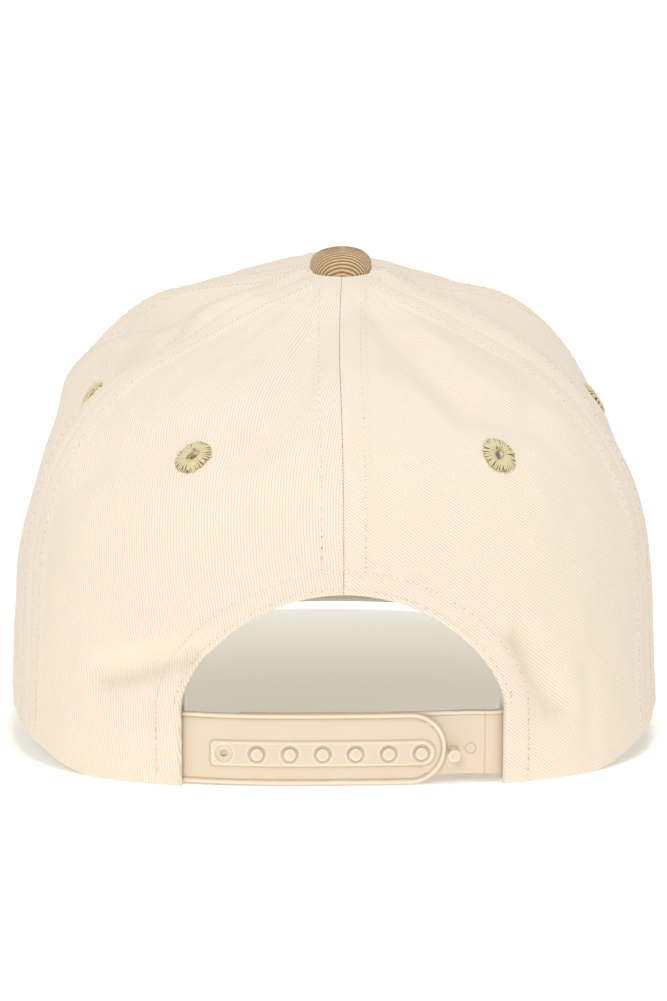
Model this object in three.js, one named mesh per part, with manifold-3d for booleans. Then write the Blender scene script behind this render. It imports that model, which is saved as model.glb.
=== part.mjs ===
// A structured six-panel cotton cap with a snap closure, resting on a flat surface.
// Millimetres, +Z up. The peak points to -Y, the opening with the strap to +Y.
// The crown is worked out in its own frame, whose base is the plane of the hem,
// and then settled: tipped back a little and set on the surface, where the cloth goes flat.
import * as THREE from 'three';
import Module from 'manifold-3d';

const wasm = await Module();
wasm.setup();

// Crown
const HALF_WIDTH = 90.3;
const HALF_DEPTH = 85.6;
const CROWN_HEIGHT = 126.9;
const BACK_SQUARENESS = 2.83;
const FRONT_SQUARENESS = 2.25;
const WALL = 1.6;
const GAP = 0.3;
const SIDE_SEAM = 61;
const FRONT_SEAM = 120;
const APEX_HOLE = 3.0;
const APEX_ASIDE = -2.9;
const APEX_REACH = 60;
const PITCH = 4;
const HEM_PLANE_HEIGHT = 4.5;
const HEM_FADE = 12;
const APEX_FADE = 26;

// Opening above the strap, in the settled frame
const ARCH_HALF_WIDTH = 42.3;
const ARCH_SPRING = 22;
const ARCH_TOP = 52;
const ARCH_POWER = 4 / 3;
const ARCH_CUT_FROM = 40;
const ARCH_CUT_TO = 120;
const ARCH_CUT_BELOW = -5;
const ARCH_STEPS = 28;

// Button
const BUTTON_RADIUS = 8.5;
const BUTTON_HEIGHT = 3.2;
const BUTTON_STEM_RADIUS = 2.5;
const BUTTON_STEM_DEPTH = 4.2;
const BUTTON_SEAT = 0.5;

// Eyelets
const EYELET_RADIUS = 4.7;
const EYELET_NECK_RADIUS = 2.2;
const EYELET_HOLE_RADIUS = 1.1;
const EYELET_THICKNESS = 0.8;
const EYELET_SEAT = 0.45;
const EYELET_CUTTER_LENGTH = 12;

// Peak
const PEAK_HALF_WIDTH = 84;
const PEAK_FRONT = 155;
const PEAK_CORNER = 38;
const PEAK_SQUARENESS = 2.4;
const PEAK_THICKNESS = 3;
const PEAK_SPREAD = 68;
const PEAK_DROOP_MIDDLE = 0.03;
const PEAK_DROOP_SIDE = 0.433;
const PEAK_EDGE_STEP = 0.7;
const PEAK_LEAST_THICKNESS = 1.2;

// Sweatband
const BAND_WIDTH = 30;
const BAND_THICKNESS = 1.2;
const BAND_RISE = 0.5;
const BAND_END = 28.5;
const BAND_STEP_DEPTH = 2.4;
const BAND_STEP_FROM = 37;
const BAND_STEP_TO = 45;

// Snap closure, in the crown's frame: x along the strap, z up
const STRAP_THICKNESS = 1.3;
const STRAP_LEAN = 2.3;
const STRAP_BOTTOM = 1.7;
const STRAP_TOP = 20.9;
const STRAP_ANCHOR = 50;
const STRAP_ROUND_END = -27.3;
const PEG_STRAP_BOTTOM = 3.4;
const PEG_STRAP_TOP = 20.7;
const PEG_STRAP_END = 26.8;
const RIM_WIDTH = 1.0;
const RELIEF_HEIGHT = 0.4;
const SNAP_PITCH = 8.66;
const SNAP_COUNT = 7;
const SNAP_FIRST = 31.3;
const SNAP_HEIGHT = 10.1;
const SNAP_HOLE_RADIUS = 1.5;
const SNAP_RECESS_RADIUS = 2.3;
const SNAP_RECESS_DEPTH = 0.8;
const SNAP_PANEL_FROM = -24.2;
const SNAP_PANEL_TO = 34.7;
const SNAP_PANEL_HALF_HEIGHT = 3.3;
const PEG_NECK_RADIUS = 1.2;
const PEG_HEAD_RADIUS = 1.75;
const PEG_HEAD_HEIGHT = 0.8;
const PEG_ROOT = 0.4;
const PEG_STRAP_RAMP_FROM = -40;
const PEG_STRAP_RAMP_TO = -32;
const BEND_STEP = 9.5;
const ROUND_STEPS = 12;

// The crown's upright section by azimuth: lean of the wall, slope of the roof, radius between them
const SECTIONS = [
  { azimuth: 0, lean: 1.0, roof: 21.5, shoulder: 53 },
  { azimuth: 60, lean: 2.8, roof: 21.2, shoulder: 64 },
  { azimuth: 90, lean: 3.3, roof: 14.6, shoulder: 93 },
  { azimuth: 130, lean: 5.6, roof: 14.6, shoulder: 39 },
  { azimuth: 180, lean: 8.1, roof: 6.9, shoulder: 48 },
];

// Height of the hem over the surface, by azimuth
const HEM = [
  { azimuth: 0, height: 0 },
  { azimuth: 42, height: 0 },
  { azimuth: 62, height: 7 },
  { azimuth: 90, height: 14.6 },
  { azimuth: 115, height: 17.1 },
  { azimuth: 180, height: 20.6 },
];

// Soft ridges and dents, each along a line on the cloth: azimuth and run up the cloth at both ends,
// how far it stands out, and its half width. A dent stands out by less than nothing.
const FOLDS = [
  { azimuth: 62, run: 150, toAzimuth: 64, toRun: 78, rise: 1.2, width: 8 },
  { azimuth: 78, run: 122, toAzimuth: 93, toRun: 80, rise: -3.2, width: 15 },
  { azimuth: 80, run: 156, toAzimuth: 81, toRun: 124, rise: 1.0, width: 9 },
  { azimuth: 81, run: 124, toAzimuth: 112, toRun: 84, rise: 1.4, width: 10 },
  { azimuth: 104, run: 150, toAzimuth: 114, toRun: 112, rise: -1.8, width: 10 },
  { azimuth: -104, run: 152, toAzimuth: -102, toRun: 106, rise: -2.2, width: 12 },
  { azimuth: -98, run: 100, toAzimuth: -90, toRun: 86, rise: 2.5, width: 10 },
  { azimuth: -20, run: 150, toAzimuth: -27, toRun: 106, rise: -1.3, width: 8 },
  { azimuth: -38, run: 132, toAzimuth: -42, toRun: 100, rise: 0.9, width: 10 },
  { azimuth: 8, run: 124, toAzimuth: 20, toRun: 97, rise: -1.1, width: 7 },
  { azimuth: 20, run: 97, toAzimuth: 40, toRun: 94, rise: -0.8, width: 7 },
  { azimuth: 27, run: 44, toAzimuth: 37, toRun: 30, rise: -0.9, width: 6 },
  { azimuth: -30, run: 44, toAzimuth: -37, toRun: 24, rise: -0.9, width: 6 },
];

const PANEL_COLUMNS = 12;
const PANEL_ROWS = 16;

// Each eyelet by its azimuth and its run up the cloth.
const PANELS = [
  { name: 'back_left', from: 0, to: SIDE_SEAM, arch: true, eyelet: { azimuth: 29.5, run: 90.2 } },
  { name: 'side_left', from: SIDE_SEAM, to: FRONT_SEAM, arch: false, eyelet: { azimuth: 93.5, run: 93.5 } },
  { name: 'front_left', from: FRONT_SEAM, to: 180, arch: false, eyelet: { azimuth: 150, run: 92 } },
  { name: 'front_right', from: -180, to: -FRONT_SEAM, arch: false, eyelet: { azimuth: -150, run: 92 } },
  { name: 'side_right', from: -FRONT_SEAM, to: -SIDE_SEAM, arch: false, eyelet: { azimuth: -93, run: 89 } },
  { name: 'back_right', from: -SIDE_SEAM, to: 0, arch: true, eyelet: { azimuth: -31, run: 89.8 } },
];

const rad = THREE.MathUtils.degToRad;
const lerp = THREE.MathUtils.lerp;
const smoothstep = THREE.MathUtils.smoothstep;

// A smooth value from a table with an azimuth column, the same on both sides of the cap.
function tableValue(table, column, azimuth) {
  const at = Math.abs(azimuth);
  const last = table.length - 1;
  let i = 0;
  while (i < last - 1 && at > table[i + 1].azimuth) i += 1;
  const slope = (k) => {
    if (k === 0 || k === last) return 0;
    const before = table[k - 1];
    const here = table[k];
    const after = table[k + 1];
    const s0 = (here[column] - before[column]) / (here.azimuth - before.azimuth);
    const s1 = (after[column] - here[column]) / (after.azimuth - here.azimuth);
    return s0 * s1 <= 0 ? 0 : (2 * s0 * s1) / (s0 + s1);
  };
  const span = table[i + 1].azimuth - table[i].azimuth;
  const t = (at - table[i].azimuth) / span;
  const a = table[i][column];
  const b = table[i + 1][column];
  const m0 = slope(i) * span;
  const m1 = slope(i + 1) * span;
  const t2 = t * t;
  const t3 = t2 * t;
  return (2 * t3 - 3 * t2 + 1) * a + (t3 - 2 * t2 + t) * m0 + (3 * t2 - 2 * t3) * b + (t3 - t2) * m1;
}

// Radius of the hem plane's outline at an azimuth, 0 at the middle of the back.
function planRadius(azimuth) {
  const side = Math.abs(Math.sin(rad(azimuth))) / HALF_WIDTH;
  const end = Math.abs(Math.cos(rad(azimuth))) / HALF_DEPTH;
  const n = Math.cos(rad(azimuth)) > 0 ? BACK_SQUARENESS : FRONT_SQUARENESS;
  return (side ** n + end ** n) ** (-1 / n);
}

// Distance from a place on the cloth to a fold's line, both measured along the cloth.
function foldDistance(fold, azimuth, run, radius) {
  const scale = rad(1) * radius;
  const ax = (azimuth - fold.azimuth) * scale;
  const ay = run - fold.run;
  const bx = (fold.toAzimuth - fold.azimuth) * scale;
  const by = fold.toRun - fold.run;
  const along = THREE.MathUtils.clamp((ax * bx + ay * by) / (bx * bx + by * by), 0, 1);
  return Math.hypot(ax - bx * along, ay - by * along);
}

function relief(azimuth, run, radius) {
  let sum = 0;
  for (const fold of FOLDS) {
    sum += fold.rise * Math.exp(-((foldDistance(fold, azimuth, run, radius) / fold.width) ** 2));
  }
  return sum;
}

// The upright section at an azimuth: a straight wall, a round shoulder and a straight roof.
function section(azimuth, depth) {
  const lean = rad(tableValue(SECTIONS, 'lean', azimuth));
  const roof = rad(tableValue(SECTIONS, 'roof', azimuth));
  const shoulder = tableValue(SECTIONS, 'shoulder', azimuth) - depth;
  const radius = planRadius(azimuth) - depth / Math.cos(lean);
  const height = CROWN_HEIGHT - depth / Math.cos(roof);
  const toCorner = (height * Math.cos(roof) - radius * Math.sin(roof)) / Math.cos(lean + roof);
  const fromCorner = (radius - toCorner * Math.sin(lean)) / Math.cos(roof);
  const turn = Math.PI / 2 - roof - lean;
  const trim = shoulder * Math.tan(turn / 2);
  const wall = toCorner - trim;
  const arc = shoulder * turn;
  return { lean, roof, shoulder, radius, turn, wall, arc, length: wall + arc + fromCorner - trim };
}

// The place at a run up the cloth from the hem plane, with the outward direction there.
function sectionPoint(s, run) {
  const onWall = Math.min(run, s.wall);
  const turned = THREE.MathUtils.clamp(run - s.wall, 0, s.arc) / s.shoulder;
  const onRoof = Math.max(run - s.wall - s.arc, 0);
  const start = Math.PI / 2 + s.lean;
  const heading = start + turned;
  const r = s.radius - onWall * Math.sin(s.lean)
    + s.shoulder * (Math.sin(heading) - Math.sin(start)) - onRoof * Math.cos(s.roof);
  const z = onWall * Math.cos(s.lean)
    + s.shoulder * (Math.cos(start) - Math.cos(heading)) + onRoof * Math.sin(s.roof);
  return { r, z, outR: Math.sin(heading), outZ: -Math.cos(heading) };
}

// From the crown's frame to the settled one.
function settle(x, y, z) {
  const pitch = rad(PITCH);
  const settled = z * Math.cos(pitch) - y * Math.sin(pitch) + HEM_PLANE_HEIGHT;
  return new THREE.Vector3(
    x,
    y * Math.cos(pitch) + z * Math.sin(pitch),
    Math.abs(settled) < 1e-3 ? 0 : settled,
  );
}

// How far the crown is pulled aside near its apex.
function aside(r) {
  return APEX_ASIDE * Math.max(0, 1 - r / APEX_REACH) ** 2;
}

// Run up the cloth at which a skin of the crown reaches its hem.
function hemRun(s, azimuth, rise) {
  const pitch = rad(PITCH);
  const out = Math.cos(rad(azimuth));
  const wanted = tableValue(HEM, 'height', azimuth) + rise - HEM_PLANE_HEIGHT;
  const perRun = Math.cos(s.lean) * Math.cos(pitch) + Math.sin(s.lean) * out * Math.sin(pitch);
  return (wanted + s.radius * out * Math.sin(pitch)) / perRun;
}

// A settled point of the crown at a run up the cloth, depth inside the outer skin.
function crownAt(azimuth, run, depth) {
  const s = section(azimuth, depth);
  const p = sectionPoint(s, run);
  const fromHem = run - hemRun(s, azimuth, 0);
  const fade = smoothstep(fromHem, 0, HEM_FADE) * smoothstep(p.r, BUTTON_RADIUS, APEX_FADE);
  const stand = relief(azimuth, run, p.r) * fade;
  const r = p.r + stand * p.outR;
  const x = r * Math.sin(rad(azimuth)) + aside(r);
  return settle(x, r * Math.cos(rad(azimuth)), p.z + stand * p.outZ);
}

// The same by level, 0 at the hem and 1 at the hole under the button.
function crownLevel(azimuth, level, depth) {
  const s = section(azimuth, depth);
  const from = hemRun(s, azimuth, 0);
  const to = s.length - APEX_HOLE / Math.cos(s.roof);
  return crownAt(azimuth, lerp(from, to, level), depth);
}

// An indexed closed mesh from triangles: equal corners are shared and empty triangles are dropped.
function weld(triangles) {
  const index = new Map();
  const positions = [];
  const faces = [];
  const corner = (p) => {
    const key = p.map((c) => Math.round(c * 1e4)).join();
    if (!index.has(key)) {
      index.set(key, positions.length / 3);
      positions.push(...p);
    }
    return index.get(key);
  };
  for (const triangle of triangles) {
    const [a, b, c] = triangle.map(corner);
    if (a !== b && b !== c && c !== a) faces.push(a, b, c);
  }
  const geometry = new THREE.BufferGeometry();
  geometry.setAttribute('position', new THREE.Float32BufferAttribute(positions, 3));
  geometry.setIndex(faces);
  return geometry;
}

function trianglesOf(geometry) {
  const flat = geometry.index ? geometry.toNonIndexed() : geometry;
  const p = flat.attributes.position.array;
  const list = [];
  for (let i = 0; i < p.length; i += 9) {
    list.push([[p[i], p[i + 1], p[i + 2]], [p[i + 3], p[i + 4], p[i + 5]], [p[i + 6], p[i + 7], p[i + 8]]]);
  }
  return list;
}

function volumeOf(triangles) {
  let six = 0;
  for (const [a, b, c] of triangles) {
    six += a[0] * (b[1] * c[2] - b[2] * c[1]) - a[1] * (b[0] * c[2] - b[2] * c[0])
      + a[2] * (b[0] * c[1] - b[1] * c[0]);
  }
  return six / 6;
}

// A closed solid between two skins that are given point by point on the same grid.
function gridSolid(columns, rows, outer, inner, ring = false) {
  const skins = [outer, inner].map((skin) => {
    const points = [];
    for (let i = 0; i <= columns; i += 1) {
      const line = [];
      for (let j = 0; j <= rows; j += 1) line.push(skin(ring && i === columns ? 0 : i, j).toArray());
      points.push(line);
    }
    return points;
  });
  const triangles = [];
  const quad = (a, b, c, d) => triangles.push([a, b, c], [a, c, d]);
  const [out, back] = skins;
  for (let i = 0; i < columns; i += 1) {
    for (let j = 0; j < rows; j += 1) {
      quad(out[i][j], out[i + 1][j], out[i + 1][j + 1], out[i][j + 1]);
      quad(back[i][j], back[i][j + 1], back[i + 1][j + 1], back[i + 1][j]);
    }
    quad(out[i][0], back[i][0], back[i + 1][0], out[i + 1][0]);
    quad(out[i][rows], out[i + 1][rows], back[i + 1][rows], back[i][rows]);
  }
  for (let j = 0; j < rows && !ring; j += 1) {
    quad(out[0][j], out[0][j + 1], back[0][j + 1], back[0][j]);
    quad(out[columns][j], back[columns][j], back[columns][j + 1], out[columns][j + 1]);
  }
  if (volumeOf(triangles) < 0) triangles.forEach((t) => t.reverse());
  return weld(triangles);
}

function toSolid(geometry) {
  const welded = weld(trianglesOf(geometry));
  return new wasm.Manifold(new wasm.Mesh({
    numProp: 3,
    vertProperties: new Float32Array(welded.attributes.position.array),
    triVerts: new Uint32Array(welded.index.array),
  }));
}

function toGeometry(solid) {
  const mesh = solid.getMesh();
  const geometry = new THREE.BufferGeometry();
  geometry.setAttribute('position', new THREE.BufferAttribute(new Float32Array(mesh.vertProperties), 3));
  geometry.setIndex(new THREE.BufferAttribute(new Uint32Array(mesh.triVerts), 1));
  return geometry;
}

// A frame on the outer skin: its Y axis points out of the cloth.
function clothFrame(azimuth, run) {
  const step = 0.5;
  const at = crownAt(azimuth, run, 0);
  const round = crownAt(azimuth + step, run, 0).sub(crownAt(azimuth - step, run, 0)).normalize();
  const up = crownAt(azimuth, run + step, 0).sub(crownAt(azimuth, run - step, 0)).normalize();
  const out = new THREE.Vector3().crossVectors(up, round).normalize();
  const side = new THREE.Vector3().crossVectors(out, up).normalize();
  return new THREE.Matrix4().makeBasis(side, out, up).setPosition(at);
}

// The cutter of the opening at the back: upright sides under an arch a little narrower than an ellipse.
function archCutter() {
  const shape = new THREE.Shape();
  shape.moveTo(-ARCH_HALF_WIDTH, ARCH_CUT_BELOW);
  shape.lineTo(ARCH_HALF_WIDTH, ARCH_CUT_BELOW);
  for (let k = 0; k <= ARCH_STEPS; k += 1) {
    const turn = (k * Math.PI) / ARCH_STEPS;
    const rise = (ARCH_TOP - ARCH_SPRING) * Math.sin(turn) ** ARCH_POWER;
    shape.lineTo(ARCH_HALF_WIDTH * Math.cos(turn), ARCH_SPRING + rise);
  }
  const depth = ARCH_CUT_TO - ARCH_CUT_FROM;
  const cutter = new THREE.ExtrudeGeometry(shape, { depth, bevelEnabled: false });
  cutter.rotateX(Math.PI / 2);
  cutter.translate(0, ARCH_CUT_TO, 0);
  return cutter;
}

function panelGeometry(panel) {
  const skin = (depth) => (i, j) => {
    const level = j / PANEL_ROWS;
    const middle = lerp(panel.from, panel.to, i / PANEL_COLUMNS);
    if (i > 0 && i < PANEL_COLUMNS) return crownLevel(middle, level, depth);
    const s = section(middle, depth);
    const to = s.length - APEX_HOLE / Math.cos(s.roof);
    const r = sectionPoint(s, lerp(hemRun(s, middle, 0), to, level)).r;
    const inset = THREE.MathUtils.radToDeg(Math.asin(GAP / 2 / r));
    return crownLevel(middle + (i === 0 ? inset : -inset), level, depth);
  };
  let solid = toSolid(gridSolid(PANEL_COLUMNS, PANEL_ROWS, skin(0), skin(WALL)));
  if (panel.arch) solid = solid.subtract(toSolid(archCutter()));
  const hole = new THREE.CylinderGeometry(
    EYELET_NECK_RADIUS + GAP, EYELET_NECK_RADIUS + GAP, EYELET_CUTTER_LENGTH, 14,
  );
  hole.applyMatrix4(clothFrame(panel.eyelet.azimuth, panel.eyelet.run));
  return toGeometry(solid.subtract(toSolid(hole)));
}

// A ring of thread that follows the cloth, over a neck that goes through it, around a small open hole.
function eyeletGeometry({ azimuth, run }) {
  const rows = [
    { over: EYELET_HOLE_RADIUS, lift: 0.2, under: EYELET_HOLE_RADIUS, sink: -WALL },
    { over: EYELET_HOLE_RADIUS + 0.5, lift: 0.7, under: EYELET_NECK_RADIUS, sink: -WALL },
    { over: EYELET_RADIUS - 1.7, lift: 1, under: EYELET_NECK_RADIUS, sink: EYELET_SEAT },
    { over: EYELET_RADIUS - 0.4, lift: 0.7, under: EYELET_RADIUS - 1, sink: EYELET_SEAT },
    { over: EYELET_RADIUS, lift: 0.2, under: EYELET_RADIUS, sink: EYELET_SEAT },
  ];
  const segments = 12;
  const middle = sectionPoint(section(azimuth, 0), run).r;
  const onCloth = (i, radius, lift) => {
    const turn = (i * 2 * Math.PI) / segments;
    const round = THREE.MathUtils.radToDeg((radius * Math.cos(turn)) / middle);
    const frame = clothFrame(azimuth + round, run + radius * Math.sin(turn));
    return new THREE.Vector3(0, lift, 0).applyMatrix4(frame);
  };
  const top = (i, j) => onCloth(i, rows[j].over, EYELET_SEAT + EYELET_THICKNESS * rows[j].lift);
  const under = (i, j) => onCloth(i, rows[j].under, rows[j].sink);
  return gridSolid(segments, rows.length - 1, top, under, true);
}

// The covered button: a dome whose underside follows the roof, on a stem in the apex hole.
function buttonGeometry() {
  const rows = [
    { top: 0, rise: 1, under: 0, stem: true },
    { top: 3.2, rise: 0.96, under: BUTTON_STEM_RADIUS, stem: true },
    { top: 5.6, rise: 0.84, under: BUTTON_STEM_RADIUS, stem: false },
    { top: 7.3, rise: 0.62, under: 5, stem: false },
    { top: 8.3, rise: 0.32, under: 7, stem: false },
    { top: BUTTON_RADIUS, rise: 0.06, under: 7.9, stem: false },
  ];
  const segments = 20;
  const signed = (i) => {
    const azimuth = (i * 360) / segments;
    return azimuth > 180 ? azimuth - 360 : azimuth;
  };
  const roof = (azimuth, r) => CROWN_HEIGHT - r * Math.tan(rad(tableValue(SECTIONS, 'roof', azimuth)));
  const place = (azimuth, r, z) => settle(
    r * Math.sin(rad(azimuth)) + aside(r),
    r * Math.cos(rad(azimuth)),
    z,
  );
  const top = (i, j) => {
    const azimuth = signed(i);
    const rim = roof(azimuth, BUTTON_RADIUS) + BUTTON_SEAT;
    return place(azimuth, rows[j].top, lerp(rim, CROWN_HEIGHT + BUTTON_HEIGHT, rows[j].rise));
  };
  const under = (i, j) => {
    const row = rows[j];
    const azimuth = signed(i);
    if (row.stem) return place(azimuth, row.under, CROWN_HEIGHT - BUTTON_STEM_DEPTH);
    return place(azimuth, row.under, roof(azimuth, row.under) + BUTTON_SEAT);
  };
  return gridSolid(segments, rows.length - 1, top, under, true);
}

// The peak: a board that starts under the front hem and bends down to both sides.
function peakGeometry() {
  const columns = 20;
  const across = [0, 0.03, 0.2, 0.4, 0.6, 0.78, 0.9, 0.97, 1];
  const edge = (u) => {
    const turn = (u * Math.PI) / 2;
    const power = 2 / PEAK_SQUARENESS;
    return {
      x: -Math.sign(turn) * PEAK_HALF_WIDTH * Math.abs(Math.sin(turn)) ** power,
      y: -PEAK_CORNER - (PEAK_FRONT - PEAK_CORNER) * Math.cos(turn) ** power,
    };
  };
  const skin = (under) => (i, j) => {
    const u = (2 * i) / columns - 1;
    const azimuth = 180 + u * PEAK_SPREAD;
    const signed = azimuth > 180 ? azimuth - 360 : azimuth;
    const start = crownLevel(signed, 0, WALL / 2);
    const end = edge(u * 0.995);
    const x = lerp(start.x, end.x, across[j]);
    const y = lerp(start.y, end.y, across[j]);
    const out = Math.hypot(end.x - start.x, end.y - start.y) * across[j];
    const droop = PEAK_DROOP_MIDDLE + PEAK_DROOP_SIDE * (x / PEAK_HALF_WIDTH) ** 2;
    const top = tableValue(HEM, 'height', signed) - GAP - out * droop;
    const thin = across[j] === 1 || across[j] === 0 ? PEAK_EDGE_STEP : 0;
    const floor = Math.max(top - PEAK_THICKNESS + thin, 0);
    return new THREE.Vector3(x, y, under ? floor : Math.max(top - thin, floor + PEAK_LEAST_THICKNESS));
  };
  return gridSolid(columns, across.length - 1, skin(false), skin(true));
}

// The band inside the hem. Its ends step inward, behind the ends of the straps, and in front it
// hangs lower, over the joint of the peak.
function sweatbandGeometry() {
  const columns = 36;
  const rows = 3;
  const skin = (depth) => (i, j) => {
    const turn = lerp(BAND_END, 360 - BAND_END, i / columns);
    const azimuth = turn > 180 ? turn - 360 : turn;
    const step = BAND_STEP_DEPTH * (1 - smoothstep(Math.abs(azimuth), BAND_STEP_FROM, BAND_STEP_TO));
    const s = section(azimuth, depth + step);
    const run = hemRun(s, azimuth, BAND_RISE) + (BAND_WIDTH * j) / rows;
    return crownAt(azimuth, run, depth + step);
  };
  return gridSolid(columns, rows, skin(WALL + GAP), skin(WALL + GAP + BAND_THICKNESS));
}

// A settled point of a strap that follows the inside of the crown: x along it, z up,
// out from the back face of the outer strap.
function strapPoint(x, out, z) {
  const inside = WALL + GAP;
  const across = Math.abs(x) / (HALF_WIDTH - inside);
  const back = (HALF_DEPTH - inside) * (1 - across ** BACK_SQUARENESS) ** (1 / BACK_SQUARENESS);
  const inward = STRAP_THICKNESS + RELIEF_HEIGHT + z * Math.tan(rad(STRAP_LEAN));
  return settle(x, back - inward + out, z);
}

// How far the inner strap lies behind the outer one. It comes forward to its own seam.
function strapRetreat(x) {
  return (STRAP_THICKNESS + GAP) * smoothstep(x, PEG_STRAP_RAMP_FROM, PEG_STRAP_RAMP_TO);
}

// A bent plate between two heights, closed by a half circle at its low end where it is round.
function plateSolid({ from, to, low, high, back, face, round, retreat = () => 0 }) {
  const radius = (high - low) / 2;
  const stations = [];
  if (round) {
    for (let k = 0; k < ROUND_STEPS / 2; k += 1) {
      const turn = (k * Math.PI) / ROUND_STEPS;
      stations.push({ x: from + radius * (1 - Math.cos(turn)), half: radius * Math.sin(turn) });
    }
  }
  const start = round ? from + radius : from;
  const pieces = Math.ceil((to - start) / BEND_STEP);
  for (let k = 0; k <= pieces; k += 1) stations.push({ x: lerp(start, to, k / pieces), half: radius });
  const skin = (out) => (i, j) => {
    const { x, half } = stations[i];
    return strapPoint(x, out - retreat(x), low + radius + (j === 0 ? -half : half));
  };
  return toSolid(gridSolid(stations.length - 1, 1, skin(face), skin(back)));
}

// A short round pin or cutter through a strap.
function discSolid(x, radius, from, to, retreat = () => 0) {
  const skin = (out) => (i, j) => {
    const turn = (i * 2 * Math.PI) / ROUND_STEPS;
    const px = x + j * radius * Math.cos(turn);
    return strapPoint(px, out - retreat(x), SNAP_HEIGHT + j * radius * Math.sin(turn));
  };
  return toSolid(gridSolid(ROUND_STEPS, 1, skin(to), skin(from), true));
}

function snapPlaces() {
  return Array.from({ length: SNAP_COUNT }, (_, k) => SNAP_FIRST - k * SNAP_PITCH);
}

// The outer strap: holes in shallow recesses along a raised panel, and a raised rim.
function holeStrapGeometry() {
  const face = STRAP_THICKNESS;
  const raised = face + RELIEF_HEIGHT;
  const past = raised + 1;
  const plate = plateSolid({
    from: STRAP_ROUND_END, to: STRAP_ANCHOR, low: STRAP_BOTTOM, high: STRAP_TOP,
    back: 0, face: raised, round: true,
  });
  const floor = plateSolid({
    from: STRAP_ROUND_END + RIM_WIDTH, to: STRAP_ANCHOR + 1, low: STRAP_BOTTOM + RIM_WIDTH,
    high: STRAP_TOP - RIM_WIDTH, back: face, face: past, round: true,
  });
  const panel = plateSolid({
    from: SNAP_PANEL_FROM, to: SNAP_PANEL_TO, low: SNAP_HEIGHT - SNAP_PANEL_HALF_HEIGHT,
    high: SNAP_HEIGHT + SNAP_PANEL_HALF_HEIGHT, back: face - 0.2, face: raised, round: true,
  });
  let solid = plate.subtract(floor).add(panel);
  for (const x of snapPlaces()) {
    solid = solid.subtract(discSolid(x, SNAP_HOLE_RADIUS, -1, past));
    solid = solid.subtract(discSolid(x, SNAP_RECESS_RADIUS, raised - SNAP_RECESS_DEPTH, past));
  }
  return toGeometry(solid);
}

// The inner strap: a peg with a snap head for each hole but the first, and one more to spare.
function pegStrapGeometry() {
  const behind = STRAP_THICKNESS + GAP;
  const headFloor = STRAP_THICKNESS + RELIEF_HEIGHT - SNAP_RECESS_DEPTH + GAP;
  let solid = plateSolid({
    from: -STRAP_ANCHOR, to: PEG_STRAP_END, low: PEG_STRAP_BOTTOM, high: PEG_STRAP_TOP,
    back: 0, face: STRAP_THICKNESS, round: false, retreat: strapRetreat,
  });
  for (const hole of snapPlaces()) {
    const x = hole - SNAP_PITCH;
    solid = solid.add(discSolid(x, PEG_NECK_RADIUS, -GAP - PEG_ROOT, headFloor + PEG_ROOT / 2));
    solid = solid.add(discSolid(x, PEG_HEAD_RADIUS, headFloor, headFloor + PEG_HEAD_HEIGHT));
  }
  return toGeometry(solid);
}

const group = new THREE.Group();

function addPart(name, geometry, color, roughness) {
  const material = new THREE.MeshStandardMaterial({ color, roughness, metalness: 0 });
  const mesh = new THREE.Mesh(geometry, material);
  mesh.name = name;
  group.add(mesh);
}

for (const panel of PANELS) {
  addPart(`panel_${panel.name}`, panelGeometry(panel), 0xf7e9d4, 0.9);
  addPart(`eyelet_${panel.name}`, eyeletGeometry(panel.eyelet), 0xcfbf93, 0.8);
}
addPart('button', buttonGeometry(), 0xb4956b, 0.85);
addPart('peak', peakGeometry(), 0xb4956b, 0.85);
addPart('sweatband', sweatbandGeometry(), 0xf2e6d2, 0.85);
addPart('strap_holes', holeStrapGeometry(), 0xf5e1c8, 0.45);
addPart('strap_pegs', pegStrapGeometry(), 0xeedcbe, 0.45);

// The origin is the middle of the footprint, on the surface.
const middle = new THREE.Box3().setFromObject(group, true).getCenter(new THREE.Vector3());
group.position.set(-middle.x, -middle.y, 0);

export default group;
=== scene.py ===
"""The finished look of a six-panel cotton twill cap with a snap closure, seen from behind."""
import math

import bpy
import numpy as np
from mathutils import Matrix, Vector


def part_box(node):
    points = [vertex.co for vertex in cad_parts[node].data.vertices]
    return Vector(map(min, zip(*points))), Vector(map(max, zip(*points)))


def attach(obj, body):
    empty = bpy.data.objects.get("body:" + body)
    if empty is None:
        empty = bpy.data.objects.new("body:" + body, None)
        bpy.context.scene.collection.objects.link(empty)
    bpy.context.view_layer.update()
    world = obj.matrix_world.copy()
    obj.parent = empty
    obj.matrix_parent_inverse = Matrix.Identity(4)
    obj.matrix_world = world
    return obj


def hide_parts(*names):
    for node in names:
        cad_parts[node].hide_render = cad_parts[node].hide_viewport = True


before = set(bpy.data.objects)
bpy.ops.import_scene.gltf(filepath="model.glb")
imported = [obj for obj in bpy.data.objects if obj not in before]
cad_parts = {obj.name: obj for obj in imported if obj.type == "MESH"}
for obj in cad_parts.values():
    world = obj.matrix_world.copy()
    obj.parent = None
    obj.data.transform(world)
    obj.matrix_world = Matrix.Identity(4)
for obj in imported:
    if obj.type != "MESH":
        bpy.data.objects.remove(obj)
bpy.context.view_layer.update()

# Lengths are millimetres until a mesh is made, and angles are degrees.
MM = 0.001
RAD = math.pi / 180

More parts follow.
